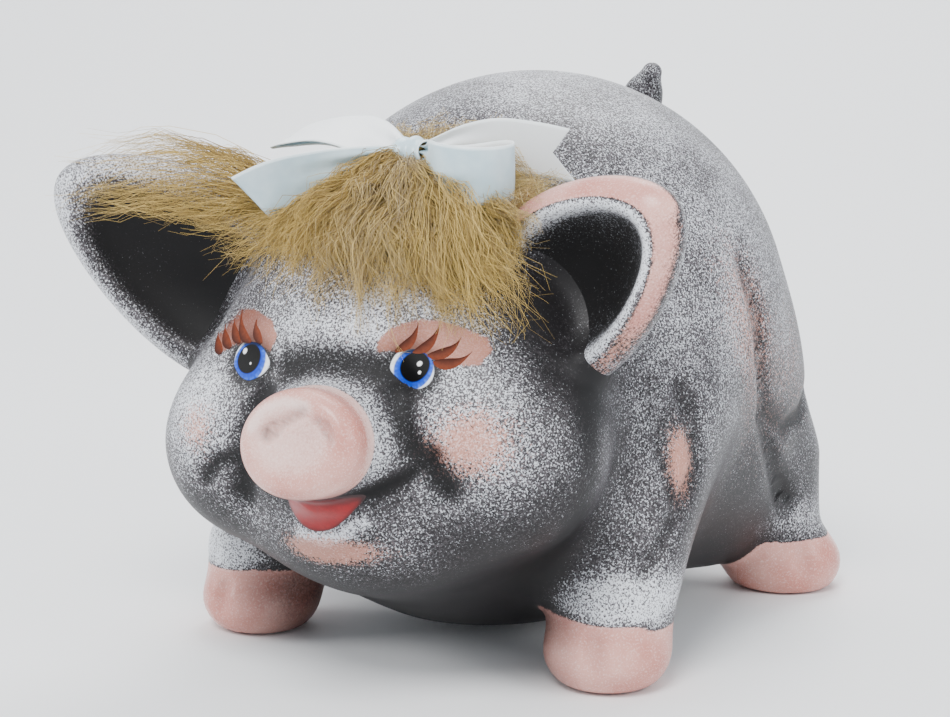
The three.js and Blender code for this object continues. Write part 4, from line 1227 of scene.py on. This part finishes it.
def ribbon_sheet(name, node, middles, wides, widths, cup, notch=0.0, dull_out=False):
    """Ribbon along its middles, with the way its width lies and how wide it is at each."""
    rows, lanes = 64, 17
    line = smooth_line(middles, rows) + KNOT
    wide = smooth_line(wides, rows)
    wide /= np.linalg.norm(wide, axis=1)[:, None]
    width = smooth_line(np.asarray(widths, float)[:, None], rows)[:, 0]
    run = np.gradient(line, axis=0)
    length = np.concatenate([[0], np.cumsum(np.linalg.norm(np.diff(line, axis=0), axis=1))])
    face = np.cross(run, wide)
    face /= np.linalg.norm(face, axis=1)[:, None]
    s = np.linspace(-0.5, 0.5, lanes)
    grid = line[:, None] + wide[:, None] * (width[:, None] * s)[..., None]
    gather = np.clip((RIBBON_WIDTH - width) / RIBBON_WIDTH, 0, 1)
    ripple = gather[:, None] * np.sin(s * 2 * math.pi * 2.5)[None] * 1.6 + cup * (0.25 - s**2)[None] * 4
    grid = grid + face[:, None] * ripple[..., None]
    if notch:
        pull = np.linspace(0, 1, rows)[:, None] ** 6 * notch * (1 - 2 * np.abs(s))[None]
        grid = grid - (run / np.linalg.norm(run, axis=1)[:, None])[:, None] * pull[..., None]
    thick = face[:, None] * (RIBBON_THICK / 2)
    points = np.concatenate([(grid + thick).reshape(-1, 3), (grid - thick).reshape(-1, 3)])
    top = rows * lanes
    faces = grid_faces(rows, lanes)
    faces += [(top + a, top + d, top + c, top + b) for a, b, c, d in faces]
    rim = [(0, j) for j in range(lanes)] + [(i, lanes - 1) for i in range(1, rows)]
    rim += [(rows - 1, j) for j in range(lanes - 2, -1, -1)] + [(i, 0) for i in range(rows - 2, 0, -1)]
    ring = [i * lanes + j for i, j in rim]
    faces += [(a, b, b + top, a + top) for a, b in zip(ring, ring[1:] + ring[:1])]
    piece = new_piece(name, placed(points), faces, satin)
    across, along = np.broadcast_arrays((s + 0.5)[None] * RIBBON_WIDTH, length[:, None])
    uv = np.stack([across, along], -1).reshape(-1, 2) / 1000
    lay_cloth(piece, np.vstack([uv, uv]))
    add_values(piece, {"dull": np.repeat([1.0, 0.0] if dull_out else [0.0, 1.0], top)})
    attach(piece, "bank")
    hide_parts(node)
    cells = grid[1:, 1:] - grid[:-1, :-1], grid[1:, :-1] - grid[:-1, 1:]
    area = np.linalg.norm(np.cross(*cells), axis=-1).sum() / 2


LEAN = (0.12, -0.24, 0.96)
ribbon_sheet("ribbon_left_loop", "ribbon_loop_left",
             [(3.5, -1.5, -0.5), (7, -4, -1), (10.5, -9.5, -2.8), (16.5, -14, -4.2), (24, -14, -5),
              (30, -9.5, -5), (32, -2.5, -4.5), (27, 3, -4), (15, 2.5, -3), (4, 1, -1)],
             [(0.5, -0.2, 0.85), (0.35, -0.2, 0.9), (0.2, -0.3, 0.92), LEAN, LEAN, LEAN, LEAN, LEAN,
              (0, -0.3, 1), (0, 0, 1)],
             [5, 7, 14.5, 16, 16, 16, 16, 16, 10, 5], cup=0.2)
ribbon_sheet("ribbon_right_loop", "ribbon_loop_right",
             [(-3.5, 0, 0.5), (-9, -1, 2.5), (-17, -1.5, 5), (-27, -1, 5.4), (-38, 1, 3.6), (-44, 4, 1.6),
              (-40, 8, 2.5), (-28, 10, 3.4), (-14, 8, 2), (-3.5, 3, 0)],
             [(0.1, 0.2, 1), (0.1, 0.6, 0.75), (0.05, 0.85, 0.5), (0, 0.93, 0.36), (0, 0.95, 0.3),
              (0, 0.96, 0.25), (0, 0.95, 0.3), (0, 0.93, 0.36), (0, 0.6, 0.8), (0, 0.3, 1)],
             [6, 12, 16, 16, 16, 15, 15.5, 15, 11, 6], cup=0.3)
ribbon_sheet("ribbon_left_tail", "ribbon_tail_left",
             [(4, 3, 0), (12, 9, 1), (20, 15, 1.2), (29, 21, 0), (36, 26, -1.8)],
             [(0, -0.3, 0.95)] * 5,
             [7, 13, 16, 16, 16], cup=0.3, notch=6, dull_out=True)
ribbon_sheet("ribbon_right_tail", "ribbon_tail_right",
             [(-3.5, -4, -1.5), (-11, -8.5, -3.5), (-20, -13, -6), (-31, -17, -9), (-39.5, -20, -13)],
             [(0, -0.1, 1), (0.1, -0.25, 0.95), (0.1, -0.35, 0.92), (0.0, -0.45, 0.88), (-0.45, -0.5, 0.72)],
             [6, 10, 14, 16, 16], cup=0.4, dull_out=True)


def ribbon_knot():
    """The ribbon's one turn round the lock, drawn tight: a short barrel of gathered folds."""
    around, lanes = 48, 17
    a = np.linspace(0, 2 * math.pi, around, endpoint=False)
    s = np.linspace(-1, 1, lanes)
    rows = []
    for value in s:
        swell = 1 - 0.25 * value**2
        crease = 1 + 0.11 * np.sin(value * 8 + 0.9 * np.sin(2 * a))
        x, y, z = value * 4.6 + 0.6 * np.sin(a * 2), np.cos(a) * 5.6, np.sin(a) * 4.4
        rows.append(np.stack([x, y * swell * crease, z * swell * crease - 0.6], 1))
    outer = np.array(rows)
    inner = outer * (1.0, 0.9, 0.9)
    points = np.concatenate([outer.reshape(-1, 3), inner.reshape(-1, 3)]) + KNOT
    top = around * lanes
    faces = []
    for i in range(lanes - 1):
        for j in range(around):
            k, m = i * around + j, i * around + (j + 1) % around
            faces += [(k, k + around, m + around, m), (top + k, top + m, top + m + around, top + k + around)]
    for i in (0, lanes - 1):
        for j in range(around):
            k, m = i * around + j, i * around + (j + 1) % around
            faces.append((k, m, m + top, k + top) if i == 0 else (m, k, k + top, m + top))
    piece = new_piece("ribbon_knot_gathered", placed(points), faces, satin)
    length = 2 * math.pi * 4.6
    across, along = ((s + 1) / 2)[:, None] * RIBBON_WIDTH, (a / (2 * math.pi) * length)[None]
    across, along = np.broadcast_arrays(across, along)
    uv = np.stack([across, along], -1).reshape(-1, 2) / 1000
    lay_cloth(piece, np.vstack([uv, uv]))
    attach(piece, "bank")
    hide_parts("ribbon_knot")


ribbon_knot()
